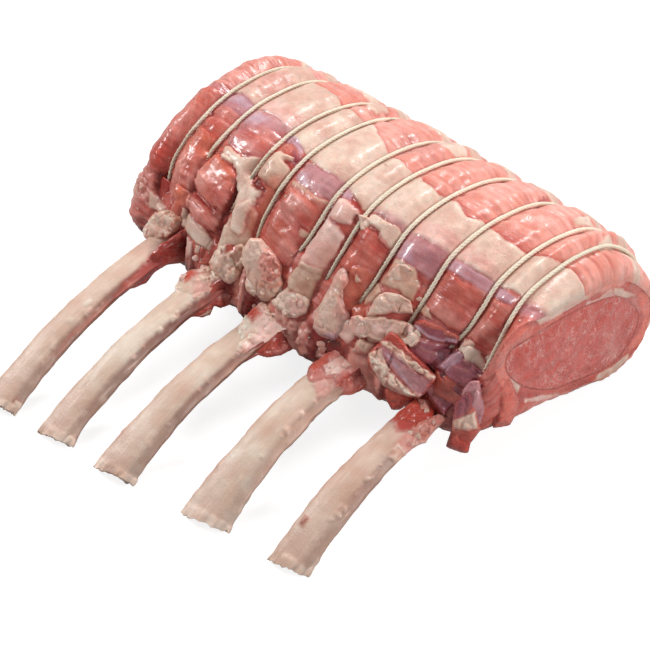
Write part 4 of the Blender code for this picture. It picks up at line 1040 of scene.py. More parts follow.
# name, middle, the way its face looks, how far it stands out, how deep it goes, rim, raggedness, kind,
# outline (across, up), then patches on it like the roll's
TRIMMINGS = (
    ("fat_lump", (-5, -37, 60), FRONT_FACING, 6, 9, 7, 0.6, "fat",
     ((-6, 15), (-1, 15), (3, 11), (6, 8), (9, 2), (9, -3), (11, -7), (9, -11), (5, -14), (2, -15), (-3, -14),
      (-6, -10), (-8, -3), (-10, 4), (-10, 10)),
     (("crumb_pink", 0.6, 1.5, 1.2, 0.6, ((-1, 9), (4, 11), (9, 4), (9, -3), (4, -7), (-1, -5), (-2, 2))),
      ("orange", 0.3, 1.5, 0.8, 0.6, ((-3, -5), (4, -7), (10, -4), (11, -7), (4, -9), (-2, -7))),
      ("deep", -1.5, 1, 0.4, 0.4, ((-5, -10), (-1, -14), (-2, -15), (-6, -11))))),
    ("fat_lump_foot", (-2, -40, 48), FRONT_FACING, 3, 8, 3, 0.8, "crumb",
     ((-8, 8), (-3, 6), (3, 3), (4, 1), (-1, -1), (-5, -1), (-9, 3)), ()),
    ("flesh_under_lump", (-3, -38, 42), FRONT_FACING, 3, 8, 4, 0.8, "red",
     ((-9, 8), (-2, 4), (4, 2), (3, -4), (-1, -8), (-4, -8), (-7, -2)), ()),
    ("root_fat_2", (-27, -39, 52), FRONT_FACING, 3.5, 9, 6.5, 1.6, "crumb",
     ((-7, 4), (-4, 8), (2, 10), (8, 8), (9, 3), (8, -3), (5, -8), (0, -10), (-5, -7), (-9, -3), (-9, 2)),
     (("bright_red", 0.3, 1.5, 0.8, 0.6, ((-1, 9), (4, 10), (4, 5), (-1, 4))),
      ("fat", 0.5, 2, 1.0, 0.8, ((-8, 2), (-2, 4), (2, -2), (-2, -7), (-8, -4))))),
    ("flesh_beside_root_2", (-44, -40, 44), FRONT_FACING, 3, 9, 4, 0.8, "red",
     ((-5, 9), (-1, 7), (4, 5), (5, 0), (3, -6), (1, -8), (-2, -7), (-4, -2)),
     (("orange", 0.3, 1, 0.6, 0.6, ((-3, -2), (2, -2), (2, -8), (-2, -7))),)),
    ("membrane_root_2", (-33, -46, 40.5), TOP_FACING, 1.4, 5, 7, 2.2, "fat_pink",
     ((-14, 3), (-4, 7), (6, 8), (10, 4), (6, -1), (-1, -5), (-7, -10), (-18, -15), (-16, -5)),
     (("crumb", 0.4, 2, 1.0, 1.5, ((-4, 6), (6, 8), (8, 3), (2, -1), (-6, 0))),
      ("bone", 0.0, 2, 1.0, 2.5, ((-20, 4), (-8, 6), (-8, -6), (-18, -16))),
      ("bright_red", 0.2, 1, 0.8, 0.8, ((-14, 4), (-8, 6), (-6, 3), (-12, -1))))),
    ("root_fat_1", (-73, -38, 46), FRONT_FACING, 5, 10, 4, 1.0, "crumb",
     ((-9, 3), (-4, 7), (5, 8), (9, 4), (8, -1), (2, -6), (-4, -8), (-11, -6), (-12, -2)),
     (("fat", 0.5, 2, 1.2, 0.8, ((-8, 2), (0, 5), (5, 3), (0, -4), (-8, -5))),
      ("orange", 0.2, 2, 1.0, 0.8, ((3, 8), (8, 6), (8, 2), (5, 4))))),
    ("root_fat_3", (16, -39, 52), FRONT_FACING, 5, 10, 3, 0.8, "fat",
     ((-10, 2), (-4, 7), (3, 7), (9, 3), (8, -3), (2, -6), (-4, -5)),
     (("fat_pink", 0.0, 2, 1.5, 1.5, ((-3, 2), (5, 4), (7, -2), (0, -5))),)),
    ("membrane_root_3", (9, -44, 41.5), TOP_FACING, 1.4, 5, 7, 2.2, "fat_pink",
     ((-12, 5), (-5, 9), (2, 5), (10, 3), (13, -1), (5, -5), (-4, -10), (-16, -17), (-21, -14), (-16, -2)),
     (("crumb", 0.5, 1, 1.0, 0.6, ((-6, 8), (0, 6), (6, 3), (2, 0), (-5, 3))),
      ("bone", 0.0, 2, 1.0, 2.5, ((-22, 4), (-10, 5), (-9, -7), (-20, -18))),
      ("bright_red", 0.2, 2, 0.8, 0.8, ((-14, 3), (-9, 8), (-6, 3), (-10, -1))))),
    ("pale_lump", (37, -34, 62), FRONT_FACING, 8, 9, 8, 0.5, "fat_pink",
     ((4, 18), (7, 18), (9, 12), (7, 6), (8, 0), (10, -6), (7, -12), (1, -16), (-5, -14), (-9, -10), (-9, -3),
      (-6, 1), (-2, 8), (1, 14)),
     (("fat", 0.3, 3, 1.2, 2.0, ((-7, 0), (1, 10), (5, 16), (4, 6), (1, -2), (4, -8), (0, -12), (-7, -10))),
      ("orange", 0.2, 3, 1.2, 2.0, ((4, 14), (10, 12), (9, -2), (12, -6), (6, -2), (4, 4))),
      ("lavender", 0.2, 2, 1.0, 1.0, ((-5, -13), (0, -12), (6, -13), (1, -16))))),
    ("crumbs_root_4", (36, -38, 42), FRONT_FACING, 4, 8, 3, 1.6, "crumb_pink",
     ((-9, 1), (-6, 4), (3, 5), (10, 4), (14, 0), (10, -4), (5, -7), (0, -9), (-4, -7), (-5, -2)),
     (("bright_red", 0.3, 1, 1.0, 0.8, ((-2, 3), (5, 4), (8, 0), (2, -3))),
      ("fat", 0.6, 1, 0.8, 0.5, ((-9, 2), (-5, 4), (-4, -1), (-7, -1))),
      ("fat", 0.8, 1, 0.8, 0.5, ((2, 3), (6, 4), (6, 0), (2, 0))))),
    ("membrane_root_4", (52, -43, 41), TOP_FACING, 3, 7, 4, 1.0, "pale",
     ((-15, -1), (-9, 4), (-1, 8), (9, 8), (12, 4), (10, -1), (2, -8), (-4, -11), (-10, -14), (-18, -12)),
     (("bright_red", 0.5, 2, 0.8, 0.8, ((-15, 0), (-8, 5), (-3, 8), (-6, 2), (-13, -4))),
      ("fat_pink", 0.6, 1.5, 0.8, 0.6, ((-8, 0), (0, 4), (8, 7), (8, 2), (-1, -4), (-7, -5))),
      ("bright_red", 0.3, 2, 0.8, 0.6, ((0, -6), (6, -2), (5, -6), (-3, -10))))),
    ("fat_piece_upper", (62, -14, 81), (0.2, -0.8, 0.55), 3.5, 6, 1.2, 1.0, "fat_tan",
     ((-8, 2), (-5, 7), (0, 9), (5, 6), (9, -2), (10, -10), (5, -9), (0, -5), (-6, -6)),
     (("fat", 0.8, 2, 0.6, 0.6, ((-7, 4), (-1, 9), (4, 6), (1, 0), (-5, -1))),
      ("fat_pink", 0.0, 2, 1.0, 1.0, ((5, 2), (9, -3), (9, -9), (5, -6))))),
    ("fat_flap_triangle", (64, -23, 74), FRONT_FACING, 3, 8, 1.0, 0.8, "fat",
     ((-11, -5), (-7, 3), (-3, 6), (3, 5), (8, 2), (10, -4), (2, -4)),
     (("fat", 0.0, 2, 0.8, 1.0, ((-8, 2), (-3, 7), (6, 5), (4, 2), (-4, 2))),)),
    ("fat_sheet_lower", (65, -30, 65), FRONT_FACING, 2.5, 8, 1.2, 1.2, "fat",
     ((-11, 4), (-4, 5), (5, 4), (12, 2), (8, -3), (0, -6), (-8, -4)),
     (("fat_pink", 0.0, 2, 1.5, 1.5, ((-6, 3), (4, 3), (6, -2), (-4, -3))),)),
    ("fat_nub_4", (55, -34, 62), FRONT_FACING, 4, 6, 2, 0.5, "fat_pink",
     ((-4, 4), (0, 5), (4, 2), (4, -3), (0, -6), (-3, -3)), ()),
    ("fat_chip", (77, -24, 67), FRONT_FACING, 4.5, 6, 1.5, 0.5, "fat",
     ((-5, 3), (-1, 4), (3, 1), (6, -2), (2, -5), (-3, -4)), ()),
    ("lean_band_upper", (89, -20, 71), FRONT_FACING, 4, 8, 2.5, 0.4, "purple",
     ((-10, 5), (-5, 7), (4, 3), (10, -1), (9, -6), (1, -4), (-8, 1)),
     (("red", 0.5, 2, 0.5, 0.6, ((-11, 6), (-4, 8), (11, 0), (10, -3), (0, 0), (-9, 4)), 15),
      ("lavender", 0.0, 1, 0.4, 0.5, ((-9, 3), (0, -1), (9, -3), (9, -4.5), (0, -2.5), (-8, 1))))),
    ("lean_sheet_lower", (89, -25, 61), FRONT_FACING, 4, 8, 1.5, 0.3, "purple",
     ((-14, 8), (-3, 5), (10, 3), (10, -3), (4, -9), (-3, -3), (-10, 2)),
     (("lavender", 0.0, 2, 0.8, 1.5, ((0, 2), (6, 0), (4, -4), (0, -1))),)),
    ("cut_block", (83, -35, 55), (0.15, -0.9, 0.4), 8, 10, 2, 0.5, "red",
     ((-11, 12), (-6, 17), (-2, 15), (4, 8), (15, -3), (12, -9), (7, -14), (-1, -12), (-9, -8), (-16, 2),
      (-16, 7)),
     (("crumb", 0.8, 1.5, 0.8, 0.5, ((-16, 7), (-10, 9), (-7, 0), (1, -8), (9, -12), (6, -14), (-1, -13),
                                     (-9, -8), (-14, 0))),
      ("bright_red", 0.0, 2, 0.8, 0.8, ((-10, 14), (-6, 17), (-1, 15), (2, 10), (-2, 11), (-8, 12))),
      ("crumb", 0.8, 1.5, 1.2, 0.5, ((-11, 13), (-5, 12), (0, 7), (8, 1), (15, -3), (13, -5), (4, -1),
                                     (-3, 5), (-8, 9))),
      ("silver", 0.6, 1.5, 1.0, 0.8, ((-10, 10), (-5, 8), (2, 1), (12, -6), (11, -10), (6, -12), (0, -7),
                                      (-6, 1)), 40),
      ("lavender", 0.0, 1, 0.4, 0.5, ((-9, 8), (-5, 2), (1, -6), (5, -10), (3, -7), (-2, 0), (-6, 6))),
      ("crumb", 0.8, 1, 0.6, 0.4, ((-6, -2), (1, -8), (6, -13), (-1, -12), (-7, -7))))),
    ("cut_block_flesh", (81, -37, 38), FRONT_FACING, 5, 9, 4, 0.5, "bright_red",
     ((-9, 10), (0, 8), (12, 6), (15, 1), (9, -2), (2, -7), (-2, -7), (-5, -1)),
     (("orange", 0.0, 2, 1.0, 1.5, ((-8, 8), (-3, 8), (-1, 2), (-5, 2))),
      ("deep", 0.0, 2, 0.6, 1.0, ((4, 5), (14, 4), (12, 0), (3, 0))))),
    # lighter lavender top and darker purple and deep red front: partly its own silverskin, partly painted
    # light on top and painted shade in front
    ("small_block", (108, -24, 61), FRONT_FACING, 7, 8, 1.2, 0.3, "deep",
     ((-10, 4), (-5, 9), (-1, 11), (5, 6), (11, 0), (6, -3), (2, -7), (0, -11), (-5, -7), (-10, -1)),
     (("purple", 0.8, 1.2, 0.3, 0.3, ((-10, 4), (-5, 9), (-1, 11), (5, 6), (11, 0), (6, -3), (2, -7),
                                      (-4, -2))),
      ("lavender", 0.0, 1.2, 0.5, 0.8, ((-10, 4), (-5, 9), (-1, 11), (1, 9), (-3, 5), (-8, 2))),
      ("purple", 0.0, 1.2, 0.5, 0.6, ((-10, 3), (-4, -2), (1, -8), (0, -11), (-6, -7),
                                      (-10, 0)), 0, 0.75))),
    ("fat_piece_near", (110, -17, 69), FRONT_FACING, 4, 6, 1.5, 0.4, "fat",
     ((-7, 5), (-3, 8), (1, 5), (6, 2), (6, -5), (1, -7), (-1, -3), (-5, 1)), ()),
    ("flap_on_rib_5", (103, -31, 49), (0.2, -0.6, 0.75), 5, 8, 1.5, 0.5, "purple",
     ((-9, 4), (-5, 7), (-1, 8), (3, 5), (9, 0), (6, -4), (1, -9), (-3, -4), (-6, 0)),
     (("crumb", 0.6, 1, 0.4, 0.3, ((-5, 9), (0, 9), (2, 5), (-2, 4))),
      ("pale", 0.0, 2, 0.8, 1.0, ((-6, 3), (0, 4), (2, 0), (-3, -2))))),
    ("crumb_on_rib_5", (103, -35, 43), (0.2, -0.6, 0.75), 4, 7, 2, 0.8, "crumb_pink",
     ((-8, 5), (-4, 4), (-1, -2), (2, -6), (-2, -8), (-6, -6), (-8, 0)), ()),
    ("lean_on_rib_5", (96, -41, 41), TOP_FACING, 2.5, 7, 4, 0.6, "bright_red",
     ((-8, -2), (-2, 4), (5, 9), (9, 2), (8, -6), (-1, -9), (-6, -6)), ()),
    ("hanging_fold", (120, -29, 52), (0.6, -0.75, 0.1), 4, 5, 3.5, 0.4, "silver",
     ((-5, 8), (-2, 12), (2, 12), (4, 5), (5, -2), (3, -9), (-1, -11), (-4, -6), (-6, 1)),
     (("silver", 0.4, 1.2, 0.4, 0.6, ((0, 12), (3, 12), (2, 2), (1, -6), (-1, 2))),)),
    ("hanging_tip", (118, -33, 46), (0.5, -0.85, 0.1), 4, 5, 3, 0.4, "red",
     ((-4, 7), (1, 13), (4, 10), (6, 1), (8, -5), (4, -11), (3, -16), (-3, -15), (-7, -13), (-5, -5)),
     (("purple", 0.0, 2, 0.6, 1.0, ((-5, 8), (1, 14), (4, 10), (1, 2), (-5, 0)), 60, 1.15),
      ("fat", 0.5, 1.5, 0.8, 0.6, ((-5, -1), (1, 2), (5, 4), (6, -4), (0, -5), (-4, -4))),
      ("bright_red", 0.0, 2, 0.5, 0.8, ((-5, -5), (6, -5), (5, -12), (3, -17), (-8, -14))))),
    ("red_lobe_near", (126, -15, 50), (0.85, -0.5, 0.1), 5, 6, 5, 0.4, "red",
     ((-6, 9), (-2, 16), (3, 9), (7, 1), (7, -5), (4, -11), (0, -12.5), (-4, -12.5), (-4.5, -7), (-4, 1)),
     (("coral", 0.0, 3, 1.5, 2.5, ((-2, 12), (7, 1), (6, -10), (0, -10), (-2, 0))),
      ("pale", 0.0, 3, 1.5, 1.5, ((-6, 9), (-3, 12), (-2, 0), (-4, -8))))),
    ("curtain_1", (-63, -50, 34), SIDE_FACING, 2, 5, 3, 0.8, "red",
     ((-10, 0), (0, 10), (12, 18), (18, 12), (16, 4), (9, 1), (2, 0), (-4, -4), (-8, -9), (-16, -12),
      (-20, -13), (-19, -9), (-15, -5)),
     (("deep", 0.0, 3, 1.5, 2.5, ((-4, 2), (4, 12), (14, 16), (16, 6), (4, 3), (-8, -5))),
      ("pale", 0.3, 1.5, 1.5, 1.0, ((-9, -6), (0, -1), (10, 3), (8, 1), (0, -3), (-8, -8))),
      ("purple", 0.3, 1.5, 1.0, 1.0, ((-18, -10), (-8, -3), (0, 1), (-8, -7), (-16, -12))))),
    ("curtain_2", (-28, -47, 34), SIDE_FACING, 2, 5, 3, 0.8, "red",
     ((-10, 0), (2, 9), (11, 16), (16, 9), (16, 0), (11, -3), (7, -4), (2, -6), (-1, -5), (-3, -9), (-7, -10),
      (-12, -10), (-17, -12), (-25, -17), (-22, -12), (-15, -6)),
     (("deep", 0.0, 3, 1.5, 2.0, ((2, 9), (12, 14), (15, 4), (6, 0), (0, 2))),
      ("pale", 0.4, 1.5, 0.8, 0.8, ((0, 2), (10, 1), (14, 3), (8, -1), (2, -2))),
      ("crumb", 0.6, 1, 0.6, 0.4, ((-3, -7), (-1, -6), (-4, -9), (-9, -10))))),
    ("curtain_3", (15, -46, 33), SIDE_FACING, 2, 5, 3, 0.8, "red",
     ((-13, -5), (0, 5), (10, 14), (16, 10), (12, 0), (9, -2), (6, -4), (0, -7), (-7, -8), (-11, -7),
      (-17, -10), (-22, -13), (-20, -8)),
     (("deep", 0.0, 3, 1.5, 2.0, ((0, 5), (10, 12), (14, 8), (8, 2), (0, 0))),
      ("bright_red", 0.3, 2, 1.0, 1.0, ((-12, -5), (-5, 0), (-2, -4), (-8, -7))),
      ("pale", 0.4, 1.5, 0.8, 0.8, ((-4, -5), (6, -1), (12, 4), (8, 0), (0, -6))))),
    ("curtain_4", (59, -49, 34), SIDE_FACING, 2, 5, 3, 0.8, "red",
     ((-10, -2), (0, 5), (8, 12), (12, 9), (13, 2), (5, -2), (-1, -3), (-7, -6), (-13, -11), (-20, -17),
      (-17, -10)),
     (("pale", 0.4, 1.5, 1.0, 0.8, ((-8, -4), (2, 2), (10, 8), (10, 4), (2, -1), (-6, -6))),
      ("deep", 0.0, 3, 1.0, 1.5, ((4, 8), (9, 11), (11, 7), (6, 4))))),
    ("trim_rib_5", (105, -48, 37), (0.6, -0.4, 0.7), 3, 5, 2, 0.8, "crumb_pink",
     ((-12, -10), (-7, -2), (0, 6), (9, 10), (13, 8), (8, 3), (3, -3), (-3, -6), (-9, -11)),
     (("orange", 0.2, 1.5, 0.8, 0.6, ((-2, 0), (3, 3), (5, 0), (0, -2))),
      ("fat", 0.5, 1, 0.6, 0.4, ((-12, -10), (-7, -4), (-6, -8), (-10, -12))))),
    ("torn_flap", (41, -3, 90), (0.15, -0.7, 0.7), 3, 6, 1.2, 0.6, "fat",
     ((-12, 9), (-8, 8), (-2, 2), (3, -1), (8, -6), (10, -10), (6, -12), (0, -9), (-6, -2), (-11, 2)),
     (("fat_pink", 0.0, 2, 1.2, 1.5, ((-11, 2), (-4, -2), (2, -8), (7, -12), (-8, -6))),)),
    ("curled_fat", (21, 0, 87), (0.15, -0.7, 0.7), 3.5, 6, 1.2, 0.4, "fat",
     ((-3, 4), (0, 2), (4, 5), (6, 3), (4, -1), (0, -4), (-3, -3), (-5, 1)), ()),
)


TRIMMING_SIDES = 190
CURVED, STRAIGHT = 0.35, 0.65                # share of the rounded and of the cornered outline
BILLOWS = 2.2                                # how high the soft lumps on a trimming rise, in millimetres
TABLE_GAP = 0.5                              # no trimming comes nearer to the table


def trimming(name, middle, facing, stands_out, depth, rim, ragged, kind, outline, patches):
    """A closed body with the given outline on the sloping board.

    It is flat where its rim is narrow, and domed where the rim is wide.
    """
    knots = np.array(outline, float)
    steps = np.arange(TRIMMING_SIDES) / TRIMMING_SIDES * len(knots)
    corner, part = steps.astype(int), (steps % 1)[:, None]
    straight = knots[corner] * (1 - part) + np.roll(knots, -1, axis=0)[corner] * part
    edge = spline(knots, steps) * CURVED + straight * STRAIGHT
    away = edge / (np.linalg.norm(edge, axis=1, keepdims=True) + 1e-9)
    seed = sum(map(ord, name))                                   # each trimming has its own lumps and tears
    edge3 = np.column_stack([edge, np.full(TRIMMING_SIDES, seed * 7.0)])
    edge = edge + away * (ragged * rough_noise(edge3, 3.2, seed % 97))[:, None]
    # rings from the middle out to the edge in front, and back to the middle behind
    front_scales = np.linspace(0.02, 1, 40) ** 0.75
    back_scales = np.linspace(1, 0.02, 12)[1:]
    centre = edge.mean(axis=0)
    board = centre + (edge - centre)[None] * np.concatenate([front_scales, back_scales])[:, None, None]
    inside = np.maximum(polygon_depth(board, edge), 0)
    in_front = np.arange(len(board)) < len(front_scales)
    behind = -np.sqrt(np.clip(inside / 4, 0, 1)) * depth
    height = np.where(in_front[:, None], quarter_round(inside / rim) * stands_out, behind)
    facing = np.array(facing) / np.linalg.norm(facing)
    lean = -(facing @ ACROSS * board[..., 0] + facing @ UPWARDS * board[..., 1]) / (facing @ OUTWARDS)
    out = height + lean - stands_out
    points = (np.array(middle, float) + board[..., :1] * ACROSS + board[..., 1:] * UPWARDS
              + out[..., None] * OUTWARDS)
    paint = Paint(points, kind, seed)
    lay_patches(paint, board, patches)
    paint.crumble()
    paint.tone *= 1 + 0.08 * paint.values[:, FAT:FAT + 1]        # painted light: fat on the trimmings is painted lighter than the same fat on top
    fibre = paint.grid(paint.values[:, FIBROUS])
    turned = turned_grain(board, paint.grid(paint.turn))
    billows = np.abs(noise(points, 8.0, seed + 5)) + 0.5 * np.abs(noise(points, 3.5, seed + 6)) - 0.35
    relief = (paint.grid(paint.lift) + billows * BILLOWS + rough_noise(points, 6.0, seed + 1) * 0.6
              + rough_noise(points, 2.0, seed + 2) * 0.3
              + noise(turned, (12, 2.2, 9), seed + 3) * 0.4 * fibre)
    relief = relief * smooth_step(0, 1.5, inside) * in_front[:, None]
    # painted shade in the creases, and a little painted light on the rises
    paint_crease_shade(paint, relief, 2)
    points = points + OUTWARDS * relief[..., None]
    points[..., 2] = np.maximum(points[..., 2], TABLE_GAP)
    return grid_piece(name, points, False, paint.attributes(turned), caps=True)


trimmings = [trimming(*values) for values in TRIMMINGS]

CRUMBS_BEFORE_Y, CRUMBS_ABOVE_Z = 50, 30     # crumbs lie only in front of this y, above this z,
CRUMBS_OFF_FACE = 3                          # and this far from the cut face
CRUMBS_FACING = 0.3                          # and only where the surface looks at least this much OUTWARDS


def crumbs(name, pieces, count, smallest, largest, kind, seed):
    """Crumbs left by the knife, stuck on the front and the top of the pieces.

    They are from smallest to largest millimetres across, before each is drawn out its own way.
    """
    random = np.random.default_rng(seed)
    bpy.ops.mesh.primitive_ico_sphere_add(subdivisions=3, radius=1)
    crumb = bpy.context.object
    shape = np.array([vertex.co for vertex in crumb.data.vertices])
    faces = np.array([face.vertices[:] for face in crumb.data.polygons])
    vertices, all_faces = [], []
    for piece in pieces:
        corners = np.zeros(len(piece.data.vertices) * 3)
        piece.data.vertices.foreach_get("co", corners)
        corners = corners.reshape(-1, 3) / MM - ROLL_FRAME_SHIFT
        facing = np.zeros(len(corners) * 3)
        piece.data.vertices.foreach_get("normal", facing)
        on_show = facing.reshape(-1, 3) @ OUTWARDS > CRUMBS_FACING
        on_show &= (corners[:, 1] < CRUMBS_BEFORE_Y) & (corners[:, 2] > CRUMBS_ABOVE_Z)
        on_show = np.flatnonzero(on_show & (corners[:, 0] < CUT_FACE - CRUMBS_OFF_FACE))
        for index in random.choice(on_show, count // len(pieces)):
            size = (smallest + (largest - smallest) * random.random() ** 2) / 2
            lumps = 1 + 0.5 * noise(shape + random.uniform(0, 90, 3), 1.1, seed)
            body = shape * lumps[:, None] * size * random.uniform(0.6, 1.6, 3)
            body -= OUTWARDS * (body @ OUTWARDS)[:, None] * 0.5
            all_faces.append(faces + len(vertices) * len(shape))
            vertices.append(corners[index] + body)
    points = np.concatenate(vertices)
    crumb.name = crumb.data.name = name
    mesh = crumb.data
    mesh.clear_geometry()
    mesh.from_pydata(((points + ROLL_FRAME_SHIFT) * MM).tolist(), [], np.concatenate(all_faces).tolist())
    store_paint(mesh, *Paint(points[None], kind).attributes(points[None]))
    mesh.shade_smooth()
    return crumb


# torn scraps stick to the trimmings whose names begin with one of these words
TORN_WORDS = ("root", "crumbs", "membrane", "crumb", "flesh", "trim", "fat")
torn = [piece for piece in trimmings if piece.name.split("_")[0] in TORN_WORDS]
trimmings.append(crumbs("fat_crumbs", roll_pieces, 90, 0.5, 1.2, "crumb", 5))
trimmings.append(crumbs("torn_fat", torn, 64, 0.8, 3.0, "fat", 6))
trimmings.append(crumbs("torn_pink_fat", torn, 48, 0.8, 3.0, "fat_pink", 7))


# ======== materials ========
# settings that come up again and again, and the range in which most of a noise lies
MIX_COLOURS = {"data_type": "RGBA"}
ADD, SCALE = {"operation": "ADD"}, {"operation": "SCALE"}
MULTIPLY, MULTIPLY_ADD = {"operation": "MULTIPLY"}, {"operation": "MULTIPLY_ADD"}
NOISE_RANGE = {"From Min": 0.3, "From Max": 0.7}


def add_node(tree, kind, settings=None, inputs=None):
    """Adds a node, sets it up, and links or fills its inputs."""
    node = tree.nodes.new("ShaderNode" + kind)
    for name, value in (settings or {}).items():
        setattr(node, name, value)
    for name, value in (inputs or {}).items():
        if isinstance(value, bpy.types.NodeSocket):
            tree.links.new(value, node.inputs[name])
        else:
            node.inputs[name].default_value = value
    return node


def new_material(name, finish):
    """A material, its node tree and its shader. finish has the shader's values that are the same all over."""
    material = bpy.data.materials.new(name)
    material.use_nodes = True
    shader = material.node_tree.nodes["Principled BSDF"]
    for socket, value in finish.items():
        shader.inputs[socket].default_value = value
    return material, material.node_tree, shader


def rgba(hex_colour):
    """An sRGB hex colour as a linear colour with full cover."""
    return (*srgb(hex_colour), 1.0)


def meat_material(name, veined=False):
    """Raw veal: moist lean with pale fibres, cream fat and thin silverskin, all a little translucent.

    Where the muscle is cut across, it is veined with thin lines of fat.
    """
    material, tree, shader = new_material(name, {
        "IOR": 1.38, "Coat Roughness": 0.16, "Subsurface Weight": 0.35,
        "Subsurface Radius": (1.0, 0.35, 0.25), "Subsurface Scale": 0.0025})
    tone = add_node(tree, "Attribute", {"attribute_name": "tone"}).outputs["Color"]
    fibre = add_node(tree, "Attribute", {"attribute_name": "fibre"}).outputs["Fac"]
    wet = add_node(tree, "Attribute", {"attribute_name": "wet"}).outputs["Fac"]
    fat = add_node(tree, "Attribute", {"attribute_name": "fat"}).outputs["Fac"]
    grain = add_node(tree, "Attribute", {"attribute_name": "grain"}).outputs["Vector"]
    place = add_node(tree, "TexCoord").outputs["Object"]
    # muscle bundles: 0.9 mm across and about 10 mm long
    stretched = add_node(tree, "Mapping",
                         inputs={"Vector": grain, "Scale": (100, 1100, 100)}).outputs["Vector"]
    bundles = add_node(tree, "TexNoise", inputs={"Vector": stretched, "Scale": 1.0, "Detail": 3.0,
                                                 "Roughness": 0.6, "Distortion": 0.4}).outputs["Fac"]
    streak = add_node(tree, "MapRange", inputs={"Value": bundles, "From Min": 0.52, "From Max": 0.72})
    strength = add_node(tree, "Math", MULTIPLY, {0: streak.outputs["Result"], 1: fibre})
    strength = add_node(tree, "Math", MULTIPLY, {0: strength.outputs[0], 1: 0.35})
    with_fibres = add_node(tree, "Mix", MIX_COLOURS, {0: strength.outputs[0], 6: tone, 7: rgba("#E3B5AA")})
    if veined:
        # lines of fat between crooked bundles about 2.5 by 6 mm, which fade in and out
        bent = add_node(tree, "TexNoise",
                        inputs={"Vector": grain, "Scale": 220.0, "Detail": 3.0}).outputs["Color"]
        moved = add_node(tree, "VectorMath", MULTIPLY_ADD,
                         {0: bent, 1: (0.009, 0.009, 0.009), 2: grain}).outputs[0]
        drawn_out = add_node(tree, "Mapping",
                             inputs={"Vector": moved, "Scale": (160, 400, 160)}).outputs["Vector"]
        to_edge = add_node(tree, "TexVoronoi", {"feature": "DISTANCE_TO_EDGE"},
                           {"Vector": drawn_out, "Scale": 1.0}).outputs["Distance"]
        line = add_node(tree, "MapRange",
                        inputs={"Value": to_edge, "From Min": 0.08, "From Max": 0.0}).outputs["Result"]
        fading = add_node(tree, "TexNoise",
                          inputs={"Vector": place, "Scale": 120.0, "Detail": 2.0}).outputs["Fac"]
        shown = add_node(tree, "MapRange", inputs={"Value": fading, "From Min": 0.42, "From Max": 0.62,
                                                   "To Max": 0.6}).outputs["Result"]
        vein = add_node(tree, "Math", MULTIPLY, {0: line, 1: shown}).outputs[0]
        with_fibres = add_node(tree, "Mix", MIX_COLOURS,
                               {0: vein, 6: with_fibres.outputs[2], 7: rgba("#F0C9C0")})
    # mottling: lighter and darker blotches about 4 mm wide
    blotches = add_node(tree, "TexNoise", inputs={"Vector": place, "Scale": 260.0, "Detail": 4.0,
                                                  "Roughness": 0.6}).outputs["Fac"]
    shade = add_node(tree, "MapRange",
                     inputs={"Value": blotches, **NOISE_RANGE, "To Min": 0.88, "To Max": 1.08})
    mottled = add_node(tree, "VectorMath", SCALE,
                       {0: with_fibres.outputs[2], "Scale": shade.outputs["Result"]})
    # thin pink to ochre stains in the fat
    stains = add_node(tree, "TexNoise", inputs={"Vector": place, "Scale": 140.0, "Detail": 5.0,
                                                "Roughness": 0.65, "Distortion": 0.8}).outputs["Fac"]
    stain = add_node(tree, "MapRange",
                     inputs={"Value": stains, "From Min": 0.5, "From Max": 0.75, "To Max": 0.35})
    stain = add_node(tree, "Math", MULTIPLY, {0: stain.outputs["Result"], 1: fat})
    colour = add_node(tree, "Mix", MIX_COLOURS,
                      {0: stain.outputs[0], 6: mottled.outputs[0], 7: rgba("#CF9C86")})
    tree.links.new(colour.outputs[2], shader.inputs["Base Color"])
    # moist film: smoother where it is wet, broken up by grain 1.4 mm wide
    film = add_node(tree, "TexNoise",
                    inputs={"Vector": place, "Scale": 700.0, "Detail": 3.0}).outputs["Fac"]
    dry = add_node(tree, "MapRange", inputs={"Value": wet, "To Min": 0.52, "To Max": 0.25})
    rough = add_node(tree, "MapRange",
                     inputs={"Value": film, **NOISE_RANGE, "To Min": -0.08, "To Max": 0.1})
    rough = add_node(tree, "Math", ADD, {0: dry.outputs["Result"], 1: rough.outputs["Result"]})
    tree.links.new(rough.outputs[0], shader.inputs["Roughness"])
    # relief finer than the mesh: fibres 0.9 mm wide, grain 0.8 mm wide
    fine = add_node(tree, "TexNoise",
                    inputs={"Vector": place, "Scale": 1200.0, "Detail": 3.0}).outputs["Fac"]
    raised = add_node(tree, "Math", MULTIPLY, {0: bundles, 1: fibre})
    relief = add_node(tree, "Math", MULTIPLY_ADD, {0: fine, 1: 0.4, 2: raised.outputs[0]})
    # the fat wrinkles in crooked lines about 2 mm apart
    wrinkles = add_node(tree, "TexNoise", inputs={"Vector": place, "Scale": 450.0, "Detail": 2.0,
                                                  "Distortion": 2.2}).outputs["Fac"]
    wrinkled = add_node(tree, "Math", MULTIPLY, {0: wrinkles, 1: fat})
    relief = add_node(tree, "Math", MULTIPLY_ADD, {0: wrinkled.outputs[0], 1: 1.3, 2: relief.outputs[0]})
    bump = add_node(tree, "Bump", inputs={"Height": relief.outputs[0], "Strength": 0.5, "Distance": 0.0006})
    tree.links.new(bump.outputs["Normal"], shader.inputs["Normal"])
    # silverskin is the shiniest
    skin = add_node(tree, "MapRange",
                    inputs={"Value": wet, "From Min": 0.9, "From Max": 1.6, "To Min": 0.2, "To Max": 0.7})
    tree.links.new(skin.outputs["Result"], shader.inputs["Coat Weight"])
    return material


